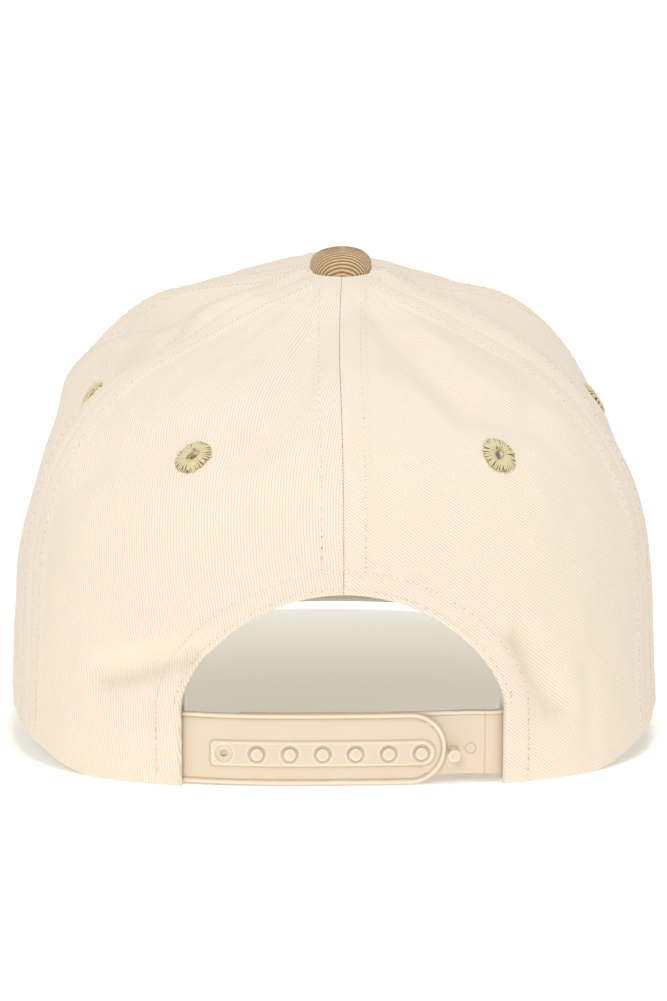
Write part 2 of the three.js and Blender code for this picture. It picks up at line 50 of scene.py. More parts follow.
# Crown, the same sizes as the frame
HALF_WIDTH = 90.3
HALF_DEPTH = 85.6
CROWN_HEIGHT = 126.9
BACK_SQUARENESS = 2.83
FRONT_SQUARENESS = 2.25
WALL = 1.6
GAP = 0.3
SIDE_SEAM = 61
FRONT_SEAM = 120
APEX_HOLE = 3.0
APEX_ASIDE = -2.9
APEX_REACH = 60
PITCH = 4
HEM_PLANE_HEIGHT = 4.5
HEM_FADE = 12
APEX_FADE = 26
ARCH_HALF_WIDTH = 42.3
ARCH_SPRING = 22
ARCH_TOP = 52
ARCH_POWER = 4 / 3
BUTTON_RADIUS = 8.5
BUTTON_HEIGHT = 3.2
BUTTON_SEAT = 0.5
BUTTON_CLEAR = 14
EYELET_RADIUS = 4.7
PEAK_HALF_WIDTH = 84
PEAK_FRONT = 155
PEAK_CORNER = 38
PEAK_SQUARENESS = 2.4
PEAK_THICKNESS = 3
PEAK_SPREAD = 68
PEAK_DROOP_MIDDLE = 0.03
PEAK_DROOP_SIDE = 0.433
BAND_WIDTH = 30
BAND_THICKNESS = 1.2
BAND_RISE = 0.5
BAND_SAG = 3.2
BAND_SAG_FROM = 130
BAND_SAG_TO = 165
BAND_END = 28.5
BAND_STEP_DEPTH = 2.4
BAND_STEP_FROM = 37
BAND_STEP_TO = 45
STRAP_THICKNESS = 1.3
STRAP_LEAN = 2.3
STRAP_BOTTOM = 1.7
STRAP_TOP = 20.9
STRAP_ANCHOR = 50
STRAP_ROUND_END = -27.3
PEG_STRAP_BOTTOM = 3.4
PEG_STRAP_TOP = 20.7
PEG_STRAP_END = 26.8
RIM_WIDTH = 1.0
RELIEF_HEIGHT = 0.4
SNAP_PITCH = 8.66
SNAP_COUNT = 7
SNAP_FIRST = 31.3
SNAP_HEIGHT = 10.1
SNAP_PANEL_FROM = -24.2
SNAP_PANEL_TO = 34.7
SNAP_PANEL_HALF_HEIGHT = 3.3
PEG_STRAP_RAMP_FROM = -40
PEG_STRAP_RAMP_TO = -32

# The footprint's middle is the origin, and the peak's front edge fixes how far that is.
SHIFT_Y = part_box("peak")[0].y / MM + PEAK_FRONT

# The crown's upright section by azimuth: lean of the wall, slope of the roof, radius between them
SECTIONS = {
    "azimuth": [0, 60, 90, 130, 180],
    "lean": [1.0, 2.8, 3.3, 5.6, 8.1],
    "roof": [21.5, 21.2, 14.6, 14.6, 6.9],
    "shoulder": [53, 64, 93, 39, 48],
}

# Height of the hem over the surface, by azimuth
HEM = {"azimuth": [0, 42, 62, 90, 115, 180], "height": [0, 0, 7, 14.6, 17.1, 20.6]}

# Soft ridges and dents: a path of azimuths and runs up the cloth, how far out, half width
FOLDS = [
    ([(62, 150), (64, 78)], 1.3, 8),
    ([(78, 122), (93, 80)], -3.0, 14),
    ([(66, 168), (72, 144), (79, 124), (101, 108), (112, 88)], 2.0, 7),
    ([(72, 128), (70, 115), (74, 104)], -2.4, 6),
    ([(90, 156), (96, 134), (114, 112)], -3.4, 9),
    ([(-104, 152), (-102, 106)], -2.6, 12),
    ([(-98, 100), (-90, 86)], 2.5, 10),
    ([(-66, 152), (-67, 100)], 1.0, 6),
    ([(-24, 151), (-26, 135), (-27, 118), (-30, 105), (-42, 100)], -2.5, 7),
    ([(-37, 140), (-41, 118)], 1.3, 9),
    ([(9, 146), (11, 128), (13, 110), (17, 97), (21, 92)], -2.5, 6.5),
    ([(22, 95), (30, 99), (36, 93), (50, 84)], -1.7, 6),
    ([(26, 37), (31, 34), (41, 29)], -3.3, 4.5),
    ([(33, 22), (38, 23)], -1.0, 4.5),
    ([(-31, 40), (-34, 29), (-37, 20)], -3.5, 4),
    ([(-44, 3), (-43, 30)], -0.6, 2.5),
]

# The arch column says on which side of the opening a panel lies. An eyelet's place is its
# azimuth and its run up the cloth. The weave's ribs lean to the left of the panel's middle line.
PANELS = [
    {"name": "back_left", "from": 0, "to": SIDE_SEAM, "arch": 1, "eyelet": (29.5, 90.2),
     "weave": 9},
    {"name": "side_left", "from": SIDE_SEAM, "to": FRONT_SEAM, "arch": 0, "eyelet": (93.5, 93.5),
     "weave": 48},
    {"name": "front_left", "from": FRONT_SEAM, "to": 180, "arch": 0, "eyelet": (150, 92),
     "weave": 9},
    {"name": "front_right", "from": -180, "to": -FRONT_SEAM, "arch": 0, "eyelet": (-150, 92),
     "weave": 48},
    {"name": "side_right", "from": -FRONT_SEAM, "to": -SIDE_SEAM, "arch": 0, "eyelet": (-93, 89),
     "weave": 9},
    {"name": "back_right", "from": -SIDE_SEAM, "to": 0, "arch": -1, "eyelet": (-31, 89.8),
     "weave": 48},
]

# Cloth details
CLOTH_STEP = 1.0
FINE_STEPS = (0, 0.06, 0.18, 0.36, 0.62, 1.0, 1.5, 2.2)
SEAM_INSET = 0.015
EDGE_ROUND = 0.8
SEAM_ROUND = 0.07
ROW_FROM_SEAM = 5.7
ROW_FROM_ARCH = 6.5
EDGE_ROW_FROM_ARCH = 1.7
EDGE_ROW_FOOT = 26.0
STITCH_PITCH = 2.8
STITCH_LENGTH = 2.3
STITCH_RADIUS = 0.16
PEAK_STITCH_PITCH = 3.0
PEAK_STITCH_LENGTH = 2.4
PEAK_STITCH_RADIUS = 0.22


def smoothstep(x, low, high):
    t = np.clip((x - low) / (high - low), 0, 1)
    return t * t * (3 - 2 * t)


def bell(distance, at, width):
    """1 at a distance, fading out on both sides of it."""
    return np.exp(-(((distance - at) / width) ** 2))


def from_segment(x, y, end_x, end_y):
    """Distance from the segment between 0, 0 and its end."""
    along = np.clip((x * end_x + y * end_y) / (end_x**2 + end_y**2), 0, 1)
    return np.hypot(x - end_x * along, y - end_y * along)


def table_value(table, column, azimuth):
    """A smooth value from a table with an azimuth column, the same on both sides of the cap."""
    at = np.abs(np.asarray(azimuth, float))
    x = np.array(table["azimuth"], float)
    y = np.array(table[column], float)
    rise = np.diff(y) / np.diff(x)
    product = rise[:-1] * rise[1:]
    total = np.where(product > 0, rise[:-1] + rise[1:], 1)
    slope = np.zeros(len(x))
    slope[1:-1] = np.where(product > 0, 2 * product / total, 0)
    i = np.clip(np.searchsorted(x, at, side="left") - 1, 0, len(x) - 2)
    span = x[i + 1] - x[i]
    t = (at - x[i]) / span
    return (
        (2 * t**3 - 3 * t**2 + 1) * y[i]
        + (t**3 - 2 * t**2 + t) * slope[i] * span
        + (3 * t**2 - 2 * t**3) * y[i + 1]
        + (t**3 - t**2) * slope[i + 1] * span
    )


def plan_radius(azimuth):
    side = np.abs(np.sin(azimuth * RAD)) / HALF_WIDTH
    end = np.abs(np.cos(azimuth * RAD)) / HALF_DEPTH
    n = np.where(np.cos(azimuth * RAD) > 0, BACK_SQUARENESS, FRONT_SQUARENESS)
    return (side**n + end**n) ** (-1 / n)


def fold_relief(azimuth, run, radius):
    total = 0
    scale = RAD * radius
    for path, rise, width in FOLDS:
        nearest = 1e9
        for (azimuth_0, run_0), (azimuth_1, run_1) in zip(path, path[1:]):
            across, up = (azimuth - azimuth_0) * scale, run - run_0
            away = from_segment(across, up, (azimuth_1 - azimuth_0) * scale, run_1 - run_0)
            nearest = np.minimum(nearest, away)
        total = total + rise * bell(nearest, 0, width)
    return total


class Section:
    """The upright section at each azimuth: straight wall, round shoulder and straight roof."""

    def __init__(self, azimuth, depth=0):
        self.lean = table_value(SECTIONS, "lean", azimuth) * RAD
        self.roof = table_value(SECTIONS, "roof", azimuth) * RAD
        self.shoulder = table_value(SECTIONS, "shoulder", azimuth) - depth
        self.radius = plan_radius(azimuth) - depth / np.cos(self.lean)
        height = CROWN_HEIGHT - depth / np.cos(self.roof)
        flat = height * np.cos(self.roof) - self.radius * np.sin(self.roof)
        to_corner = flat / np.cos(self.lean + self.roof)
        from_corner = (self.radius - to_corner * np.sin(self.lean)) / np.cos(self.roof)
        turn = math.pi / 2 - self.roof - self.lean
        trim = self.shoulder * np.tan(turn / 2)
        self.wall = to_corner - trim
        self.arc = self.shoulder * turn
        self.length = self.wall + self.arc + from_corner - trim

    def point(self, run):
        """Radius, height and outward direction at a run up the cloth from the hem plane."""
        on_wall = np.minimum(run, self.wall)
        turned = np.clip(run - self.wall, 0, self.arc) / self.shoulder
        on_roof = np.maximum(run - self.wall - self.arc, 0)
        start = math.pi / 2 + self.lean
        heading = start + turned
        r = (
            self.radius
            - on_wall * np.sin(self.lean)
            + self.shoulder * (np.sin(heading) - np.sin(start))
            - on_roof * np.cos(self.roof)
        )
        z = (
            on_wall * np.cos(self.lean)
            + self.shoulder * (np.cos(start) - np.cos(heading))
            + on_roof * np.sin(self.roof)
        )
        return r, z, np.sin(heading), -np.cos(heading)

    def run_at_radius(self, r):
        """Run up the cloth on the roof at a radius near the apex."""
        return self.length - r / np.cos(self.roof)


def settle(x, y, z):
    """From the crown's frame to the settled one, on the surface."""
    cos, sin = math.cos(PITCH * RAD), math.sin(PITCH * RAD)
    settled = z * cos - y * sin + HEM_PLANE_HEIGHT
    return np.stack(np.broadcast_arrays(x, y * cos + z * sin + SHIFT_Y, settled), -1)


def aside(r):
    return APEX_ASIDE * np.maximum(0, 1 - r / APEX_REACH) ** 2


def hem_run(section, azimuth, rise=0):
    sin, cos = math.sin(PITCH * RAD), math.cos(PITCH * RAD)
    out = np.cos(azimuth * RAD)
    wanted = table_value(HEM, "height", azimuth) + rise - HEM_PLANE_HEIGHT
    per_run = np.cos(section.lean) * cos + np.sin(section.lean) * out * sin
    return (wanted + section.radius * out * sin) / per_run


def crown_point(azimuth, run, stand=0, depth=0):
    """A settled point on the cloth, standing out from it by some millimetres."""
    azimuth = (np.asarray(azimuth, float) + 180) % 360 - 180
    section = Section(azimuth, depth)
    r, z, out_r, out_z = section.point(run)
    from_hem = run - hem_run(section, azimuth)
    fade = smoothstep(from_hem, 0, HEM_FADE) * smoothstep(r, BUTTON_RADIUS, APEX_FADE)
    out = fold_relief(azimuth, run, r) * fade + stand
    r = r + out * out_r
    x = r * np.sin(azimuth * RAD) + aside(r)
    return settle(x, r * np.cos(azimuth * RAD), z + out * out_z)


def crown_frame(azimuth, run, stand):
    """Place, sideways, up and outward directions on the cloth."""
    step = 0.25
    at = crown_point(azimuth, run, stand)
    side = crown_point(azimuth + step, run) - crown_point(azimuth - step, run)
    up = crown_point(azimuth, run + step) - crown_point(azimuth, run - step)
    out = unit(np.cross(up, side))
    up = unit(up)
    return at, np.cross(out, up), up, out


def unit(v):
    return v / np.linalg.norm(v, axis=-1, keepdims=True)


def locate(x, z, stand=0):
    """Azimuth and run of the places on the back of the crown that show at x and settled z."""
    azimuth = np.degrees(np.arcsin(np.clip(x / 92, -0.9, 0.9)))
    run = z
    step = 0.05
    for _ in range(8):
        here = crown_point(azimuth, run, stand)
        by_azimuth = (crown_point(azimuth + step, run, stand) - here) / step
        by_run = (crown_point(azimuth, run + step, stand) - here) / step
        miss_x = x - here[..., 0]
        miss_z = z - here[..., 2]
        det = by_azimuth[..., 0] * by_run[..., 2] - by_run[..., 0] * by_azimuth[..., 2]
        azimuth = azimuth + (miss_x * by_run[..., 2] - miss_z * by_run[..., 0]) / det
        run = run + (miss_z * by_azimuth[..., 0] - miss_x * by_azimuth[..., 2]) / det
    return azimuth, run


def volume(points, faces):
    """Volume that the faces enclose, below 0 where they face inward."""
    corners = [[face[0], face[k], face[k + 1]] for face in faces for k in range(1, len(face) - 1)]
    a, b, c = np.moveaxis((points - points.mean(0))[np.array(corners)], 1, 0)
    return float(np.einsum("ij,ij->", a, np.cross(b, c))) / 6


def in_scene(name, data):
    thing = bpy.data.objects.new(name, data)
    bpy.context.scene.collection.objects.link(thing)
    return thing


def add_piece(name, shape, slot, material, *nodes):
    """A piece from points in millimetres, faces that all face out or all in, and the points' uv."""
    points, faces, uv = shape
    faces = faces.tolist() if isinstance(faces, np.ndarray) else faces
    if volume(points, faces) < 0:
        faces = [face[::-1] for face in faces]
    mesh = bpy.data.meshes.new(name)
    mesh.from_pydata((points * MM).tolist(), [], faces)
    layer = mesh.uv_layers.new(name="weave")
    loops = np.empty(len(mesh.loops), np.int32)
    mesh.loops.foreach_get("vertex_index", loops)
    layer.data.foreach_set("uv", np.asarray(uv, np.float32)[loops].ravel())
    mesh.polygons.foreach_set("use_smooth", [True] * len(mesh.polygons))
    mesh.update()
    piece = in_scene(name, mesh)
    mesh.materials.append(material)
    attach(piece, "root")
    if nodes:
        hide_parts(*nodes)
    return piece


def second_material(piece, material, first, end):
    """Gives the faces from first up to end a material of their own."""
    piece.data.materials.append(material)
    index = np.zeros(len(piece.data.polygons), np.int32)
    index[first:end] = 1
    piece.data.polygons.foreach_set("material_index", index)


def compact(points, faces, *others):
    """The same mesh without the points that no face uses."""
    used = np.unique(faces)
    index = np.full(len(points), -1)
    index[used] = np.arange(len(used))
    return (points[used], index[faces], *(other[used] for other in others))


def grid_faces(columns, rows, ring=False):
    """Quads of a grid of columns x rows points, numbered column by column."""
    i = np.arange(columns if ring else columns - 1)[:, None]
    j = np.arange(rows - 1)[None, :]
    here = i * rows + j
    there = ((i + 1) % columns) * rows + j
    return np.stack([here, there, there + 1, here + 1], -1).reshape(-1, 4)


def at_poles(faces, rows, *poles):
    """The faces of a ring grid with all the points of each pole row made one."""
    faces = faces.copy()
    for pole in poles:
        faces[faces % rows == pole] = pole
    return faces


def tidy_faces(faces):
    """Drops repeated corners, so that a quad with a shared corner becomes a triangle."""
    tidy = []
    for face in faces.tolist():
        kept = [c for k, c in enumerate(face) if c != face[k - 1]]
        if len(set(kept)) == len(kept) and len(kept) > 2:
            tidy.append(kept)
    return tidy


def joined(parts):
    """Points, faces and uv of many small meshes as one."""
    points, faces, uvs = [], [], []
    start = 0
    for part_points, part_faces, part_uv in parts:
        points.append(part_points)
        faces.append(np.asarray(part_faces) + start)
        uvs.append(part_uv)
        start += len(part_points)
    return np.concatenate(points), np.concatenate(faces), np.concatenate(uvs)


def rim_edges(faces):
    """The edges that only one face has."""
    edges = np.sort(np.stack([faces, np.roll(faces, -1, 1)], -1).reshape(-1, 2), 1)
    unique, times = np.unique(edges, axis=0, return_counts=True)
    return unique[times == 1]


def other_skin(count, *shared):
    """Number on the second skin of each point, with some lines shared by both skins."""
    back = np.arange(count) + count
    for line in shared:
        back[line] = line
    return back


def wall_faces(line, back):
    """Quads from a line of points to the same line on the other skin."""
    return np.stack([line[:-1], line[1:], back[line[1:]], back[line[:-1]]], -1)


def directed_walls(faces, rim, count):
    """Quads from each rim edge to the same edge on the other skin, facing out of the cloth."""
    wanted = {tuple(edge) for edge in rim.tolist()}
    walls = []
    for a, b in np.stack([faces, np.roll(faces, -1, 1)], -1).reshape(-1, 2).tolist():
        if (min(a, b), max(a, b)) in wanted:
            walls.append([b, a, a + count, b + count])
    return np.array(walls)


def two_skins(outer, inner, uv, faces, back, *walls):
    """Points, faces and uv of a sheet: its outer faces, its inner ones and then the walls."""
    points = np.concatenate([outer.reshape(-1, 3), inner.reshape(-1, 3)])
    return compact(points, np.concatenate([faces, back[faces][:, ::-1], *walls]), uv)


def tidied(points, faces, uv):
    points, faces, uv = compact(points, faces, uv)
    return points, tidy_faces(faces), uv


def walk(line):
    """Length walked along a line at each of its points."""
    return np.append(0, np.cumsum(np.linalg.norm(np.diff(line, axis=0), axis=1)))


def radius_at(azimuth, run):
    return float(Section(np.array(float(azimuth))).point(run)[0])


def spaced(length, step, fine_end=False):
    """Positions along a length, close together at its start and, if wanted, at its end."""
    fine = [f for f in FINE_STEPS if f < length / 3]
    tail = [length - f for f in reversed(fine)] if fine_end else [length]
    middle = np.linspace(fine[-1], tail[0], max(2, int(round((tail[0] - fine[-1]) / step)) + 1))
    return np.concatenate([fine[:-1], middle, tail[1:]])


# Materials


class Nodes:
    """A small helper that adds and links shader nodes."""

    def __init__(self, name):
        self.material = bpy.data.materials.new(name)
        self.material.use_nodes = True
        self.tree = self.material.node_tree
        self.shader = self.tree.nodes["Principled BSDF"]

    def put(self, socket, value):
        if isinstance(value, bpy.types.NodeSocket):
            self.tree.links.new(value, socket)
        else:
            socket.default_value = value

    def add(self, kind, inputs=None, **settings):
        node = self.tree.nodes.new(kind)
        for key, value in settings.items():
            setattr(node, key, value)
        for key, value in (inputs or {}).items():
            self.put(node.inputs[key], value)
        return node

    def uv(self):
        return self.add("ShaderNodeUVMap", uv_map="weave").outputs[0]

    def math(self, operation, a, b=0.0, c=0.0):
        return self.add("ShaderNodeMath", {0: a, 1: b, 2: c}, operation=operation).outputs[0]

    def times(self, a, b):
        return self.math("MULTIPLY", a, b)

    def plus(self, a, b):
        return self.math("ADD", a, b)

    def line(self, a, slope, start):
        return self.math("MULTIPLY_ADD", a, slope, start)

    def wave(self, phase):
        """A sine between 0 and 1, once for each 1 of its phase."""
        return self.line(self.math("SINE", self.times(phase, 2 * math.pi)), 0.5, 0.5)

    def dot(self, vector, direction):
        node = self.add("ShaderNodeVectorMath", {0: vector, 1: direction}, operation="DOT_PRODUCT")
        return node.outputs["Value"]

    def noise(self, vector, scale, detail=2.0, roughness=0.5):
        inputs = {"Vector": vector, "Scale": scale, "Detail": detail, "Roughness": roughness}
        return self.add("ShaderNodeTexNoise", inputs).outputs["Fac"]

    def stretch(self, vector, scale):
        node = self.add("ShaderNodeVectorMath", {0: vector, 1: scale}, operation="MULTIPLY")
        return node.outputs[0]

    def mix(self, factor, a, b, blend="MIX"):
        inputs = {0: factor, 6: a, 7: b}
        return self.add("ShaderNodeMix", inputs, data_type="RGBA", blend_type=blend).outputs[2]

    def shade(self, **inputs):
        for key, value in inputs.items():
            self.put(self.shader.inputs[key.replace("_", " ")], value)

    def bump(self, height, strength, distance):
        inputs = {"Height": height, "Strength": strength, "Distance": distance * MM}
        self.shade(Normal=self.add("ShaderNodeBump", inputs).outputs[0])


def colour(red, green, blue):
    """A linear colour from the one seen on a screen, 0 to 255."""
    def linear(c):
        c /= 255
        return c / 12.92 if c <= 0.04045 else ((c + 0.055) / 1.055) ** 2.4
    return (linear(red), linear(green), linear(blue), 1)


TWILL_PITCH = 0.74
RIB_PITCH = 0.92
DULL = {"Specular_IOR_Level": 0.2}


def twill_material(name, light, dark):
    """Cotton twill: ribs along v, one after another along u, with short floats on each of them."""
    nodes = Nodes(name)
    uv = nodes.uv()
    drift = nodes.noise(uv, 0.22, 3.0)
    phase = nodes.plus(nodes.dot(uv, (1 / TWILL_PITCH, 0, 0)), nodes.times(drift, 0.9))
    rib = nodes.math("POWER", nodes.wave(phase), 0.6)
    step = nodes.times(nodes.math("FLOOR", phase), 0.37)
    floats = nodes.wave(nodes.plus(nodes.dot(uv, (0, 1 / (TWILL_PITCH * 1.5), 0)), step))
    height = nodes.times(rib, nodes.line(floats, 0.2, 0.8))
    slub = nodes.noise(nodes.stretch(uv, (2.6, 0.35, 1)), 1.0, 2.0)
    patch = nodes.noise(uv, 0.035, 2.0)
    rib_contrast = nodes.line(nodes.noise(uv, 0.16, 4.0, 0.6), 1.1, 0.25)
    shown = nodes.plus(nodes.times(nodes.math("SUBTRACT", height, 0.5), rib_contrast), 0.5)
    # The ribs' valleys take the dark colour: partly the weave's own look, partly painted shade in
    # the valleys.
    base = nodes.mix(shown, dark, light)
    base = nodes.mix(nodes.times(slub, 0.16), base, dark)
    tint = nodes.mix(patch, colour(255, 251, 242), colour(250, 243, 228))
    base = nodes.mix(0.6, base, tint, "MULTIPLY")
    nodes.shade(Base_Color=base, Roughness=0.92, Sheen_Weight=0.12, Sheen_Roughness=0.5, **DULL)
    fibre = nodes.noise(uv, 5.0, 2.0)
    nodes.bump(nodes.plus(height, nodes.times(fibre, 0.35)), 0.75, 0.07)
    return nodes.material


def thread_material(name, light, dark):
    """Embroidery thread: u runs along the strand in millimetres and v round it."""
    nodes = Nodes(name)
    uv = nodes.uv()
    twist = nodes.wave(nodes.dot(uv, (2.4, 2.0, 0)))
    fleck = nodes.noise(nodes.stretch(uv, (0.6, 0.2, 1)), 2.0, 2.0)
    base = nodes.mix(nodes.line(twist, 0.35, 0.4), dark, light)
    base = nodes.mix(nodes.math("MAXIMUM", nodes.line(fleck, 1.8, -0.7), 0.0), base, dark)
    nodes.shade(Base_Color=base, Roughness=0.55, Sheen_Weight=0.3, Sheen_Roughness=0.4)
    nodes.bump(twist, 0.6, 0.05)
    return nodes.material


def ribbed_material(name, light, dark, pitch, bump):
    """Brown cloth with fine ribs along u, in millimetres, and a melange of two yarns."""
    nodes = Nodes(name)
    uv = nodes.uv()
    drift = nodes.noise(uv, 0.3, 2.0)
    rib = nodes.wave(nodes.plus(nodes.dot(uv, (0, 1 / pitch, 0)), nodes.times(drift, 0.35)))
    melange = nodes.noise(nodes.stretch(uv, (0.9, 5.0, 1)), 1.0, 3.0, 0.7)
    base = nodes.mix(nodes.times(rib, nodes.line(melange, 1.3, 0.25)), dark, light)
    base = nodes.mix(nodes.times(nodes.noise(uv, 0.06, 2.0), 0.25), base, dark)
    nodes.shade(Base_Color=base, Roughness=0.9, Sheen_Weight=0.25, Sheen_Roughness=0.4, **DULL)
    fibre = nodes.noise(uv, 6.0, 2.0)
    nodes.bump(nodes.plus(rib, nodes.times(fibre, 0.4)), 0.8, bump)
    return nodes.material


def plastic_material(name, body, shadow, edge, corner):
    """Moulded plastic with painted light: the first uv value above 0 paints a highlight on raised
    edges, below 0 painted shade in corners.
    """
    nodes = Nodes(name)
    painted_light = nodes.add("ShaderNodeSeparateXYZ", {0: nodes.uv()}).outputs[0]
    where = nodes.add("ShaderNodeTexCoord").outputs["Object"]
    cloud = nodes.noise(where, 60.0, 3.0)
    grain = nodes.noise(where, 2600.0, 2.0)
    flow = nodes.noise(nodes.stretch(where, (40.0, 900.0, 900.0)), 1.0, 2.0)
    base = nodes.mix(nodes.times(cloud, 0.4), body, shadow)
    base = nodes.mix(nodes.times(flow, 0.12), base, shadow)
    # Painted highlight on raised edges and painted shade in corners.
    base = nodes.mix(nodes.math("MAXIMUM", painted_light, 0.0), base, edge)
    base = nodes.mix(nodes.math("MAXIMUM", nodes.times(painted_light, -1.0), 0.0), base, corner)
    rough = nodes.line(cloud, 0.14, 0.36)
    nodes.shade(Base_Color=base, Roughness=rough, Subsurface_Weight=0.12, Subsurface_Scale=0.001)
    nodes.bump(nodes.plus(grain, nodes.times(flow, 0.5)), 0.35, 0.02)
    return nodes.material


# The twills' dark colours are partly painted shade in the ribs' valleys.
CLOTH = twill_material("cream_twill", colour(254, 248, 243), colour(231, 213, 191))
# The lining is the same twill made darker: painted shade inside the crown.
SHADED_LINING = twill_material("lining", colour(216, 206, 188), colour(194, 182, 164))
SEAM_THREAD = thread_material("cream_thread", colour(253, 246, 234), colour(240, 226, 204))
# The khaki of the dots of painted shade in needle holes and along the middle seam.
PAINTED_SHADE_DOTS = thread_material("painted_shade_khaki", colour(214, 176, 122), colour(172, 132, 82))
EYELET_THREAD = thread_material("khaki_embroidery", colour(250, 239, 200), colour(200, 182, 134))
EYELET_LINING = thread_material("eyelet_lining", colour(216, 192, 142), colour(174, 142, 94))
BUTTON_CLOTH = ribbed_material(
    "brown_rib", colour(246, 219, 180), colour(147, 113, 75), RIB_PITCH, 0.16
)
PEAK_CLOTH = ribbed_material(
    "brown_rib_peak", colour(200, 168, 126), colour(120, 88, 54), RIB_PITCH, 0.12
)
UNDER_CLOTH = ribbed_material(
    "pale_under_cloth", colour(222, 217, 208), colour(202, 196, 187), 0.7, 0.05
)
BAND_CLOTH = ribbed_material("cream_band", colour(250, 247, 240), colour(236, 230, 218), 0.6, 0.05)
# The last two colours: the painted highlight on raised edges and the painted shade in corners.
STRAP_PLASTIC = plastic_material(
    "cream_plastic", colour(235, 219, 198), colour(222, 201, 172), colour(249, 238, 220),
    colour(196, 160, 112),
)


# Panels


def nearest_seam(azimuth, r, panel):
    """Distance to the nearer of a panel's two seams."""
    away = [np.abs((azimuth - panel[edge] + 180) % 360 - 180) for edge in ("from", "to")]
    return r * np.sin(np.minimum(np.minimum(*away), 90) * RAD)


def arch_curve(turn):
    """The opening's edge from its top, at 0, to the start of its upright side."""
    rise = (ARCH_TOP - ARCH_SPRING) * np.maximum(np.cos(turn), 0) ** ARCH_POWER
    return ARCH_HALF_WIDTH * np.sin(turn), ARCH_SPRING + rise


def arch_outline(offset, foot):
    """Places round one half of the opening, pushed out from it: x and settled z."""
    x, z = arch_curve(np.linspace(0, math.pi / 2, 90))
    rise = ARCH_TOP - ARCH_SPRING
    steep = np.clip((z - ARCH_SPRING) / rise, 0, 1) ** (2 / ARCH_POWER - 1)
    normal = unit(np.stack([x / ARCH_HALF_WIDTH**2, steep / ARCH_POWER / rise], -1))
    x = np.append(x + offset * normal[:, 0], ARCH_HALF_WIDTH + offset)
    z = np.append(z + offset * normal[:, 1], foot)
    return x, z


def arch_distance(place):
    """Distance from the opening's edge, as seen from straight behind."""
    x, z = np.abs(place[..., 0]), place[..., 2]
    edge = np.stack(arch_outline(0.0, -20.0), -1)
    best = np.full(x.shape, 1e9)
    for (from_x, from_z), (along_x, along_z) in zip(edge, np.diff(edge, axis=0)):
        best = np.minimum(best, from_segment(x - from_x, z - from_z, along_x, along_z))
    return best


def edge_curl(distance, width):
    """How far a rounded edge has turned in: 1 at the edge and 0 past the width."""
    inward = np.clip(1 - distance / width, 0, 1)
    return 1 - np.sqrt(1 - inward**2)


def rows_up(start, end):
    """Runs up the cloth from start to end in each column, close together at the start."""
    length = end - start
    up = spaced(float(np.max(length)), CLOTH_STEP)
    fine = up[len(FINE_STEPS)]
    share = np.clip((up - fine) / (up[-1] - fine), 0, 1)
    return start[:, None] + np.where(up <= fine, up, fine + share * (length[:, None] - fine))


def plain_lattice(panel):
    """Azimuths and runs of a panel without the opening, and where its cloth is."""
    low, high = panel["from"] + SEAM_INSET, panel["to"] - SEAM_INSET
    across = spaced((high - low) * RAD * 88, CLOTH_STEP, fine_end=True)
    azimuth = low + (high - low) * across / across[-1]
    section = Section(azimuth)
    run = rows_up(hem_run(section, azimuth), section.run_at_radius(APEX_HOLE))
    azimuth = np.repeat(azimuth[:, None], run.shape[1], 1)
    return azimuth, run, np.ones(azimuth.shape, bool)


def arch_lattice(panel):
    """The same for a back panel: the columns by the middle seam start at the opening's edge."""
    side = panel["arch"]
    half = -WALL / 2
    curve = np.stack(arch_curve(np.linspace(0, math.pi / 2, 2000)), -1)
    walked = walk(curve)
    at = spaced(walked[-1], CLOTH_STEP)
    arch_x, arch_z = (np.interp(at, walked, axis) for axis in curve.T)
    arch_x[0] = SEAM_INSET * RAD * HALF_DEPTH
    arch_azimuth, arch_run = locate(side * arch_x, arch_z, half)
    spring = abs(arch_azimuth[-1])
    last = SIDE_SEAM - SEAM_INSET
    tab = spaced((last - spring) * RAD * 90, CLOTH_STEP, fine_end=True)
    tab_share = tab[1:] / tab[-1]
    columns = np.concatenate([np.abs(arch_azimuth), spring + (last - spring) * tab_share])
    share = np.concatenate([np.zeros(len(at)), tab_share])
    section = Section(side * columns)
    hem = hem_run(section, side * columns)
    tab_height = arch_run[-1] - hem[len(at) - 1]
    base = np.concatenate([arch_run, (hem + tab_height)[len(at):]])
    upper_run = rows_up(base, section.run_at_radius(APEX_HOLE))
    upper_azimuth = np.repeat(columns[:, None], upper_run.shape[1], 1)
    low = spaced(float(tab_height), CLOTH_STEP)[:-1]
    edge = np.full(len(low), spring)
    for _ in range(8):
        edge_section = Section(side * edge)
        r, _z, out_r, _out_z = edge_section.point(hem_run(edge_section, side * edge) + low)
        edge = np.degrees(np.arcsin(ARCH_HALF_WIDTH / (r + half * out_r)))
    lower_azimuth = edge + (last - edge) * share[:, None]
    azimuth = side * np.concatenate([lower_azimuth, upper_azimuth], 1)
    run = np.concatenate([hem[:, None] + low, upper_run], 1)
    there = np.ones(azimuth.shape, bool)
    there[: len(at) - 1, : len(low)] = False
    if side < 0:
        return azimuth[::-1], run[::-1], there[::-1]
    return azimuth, run, there


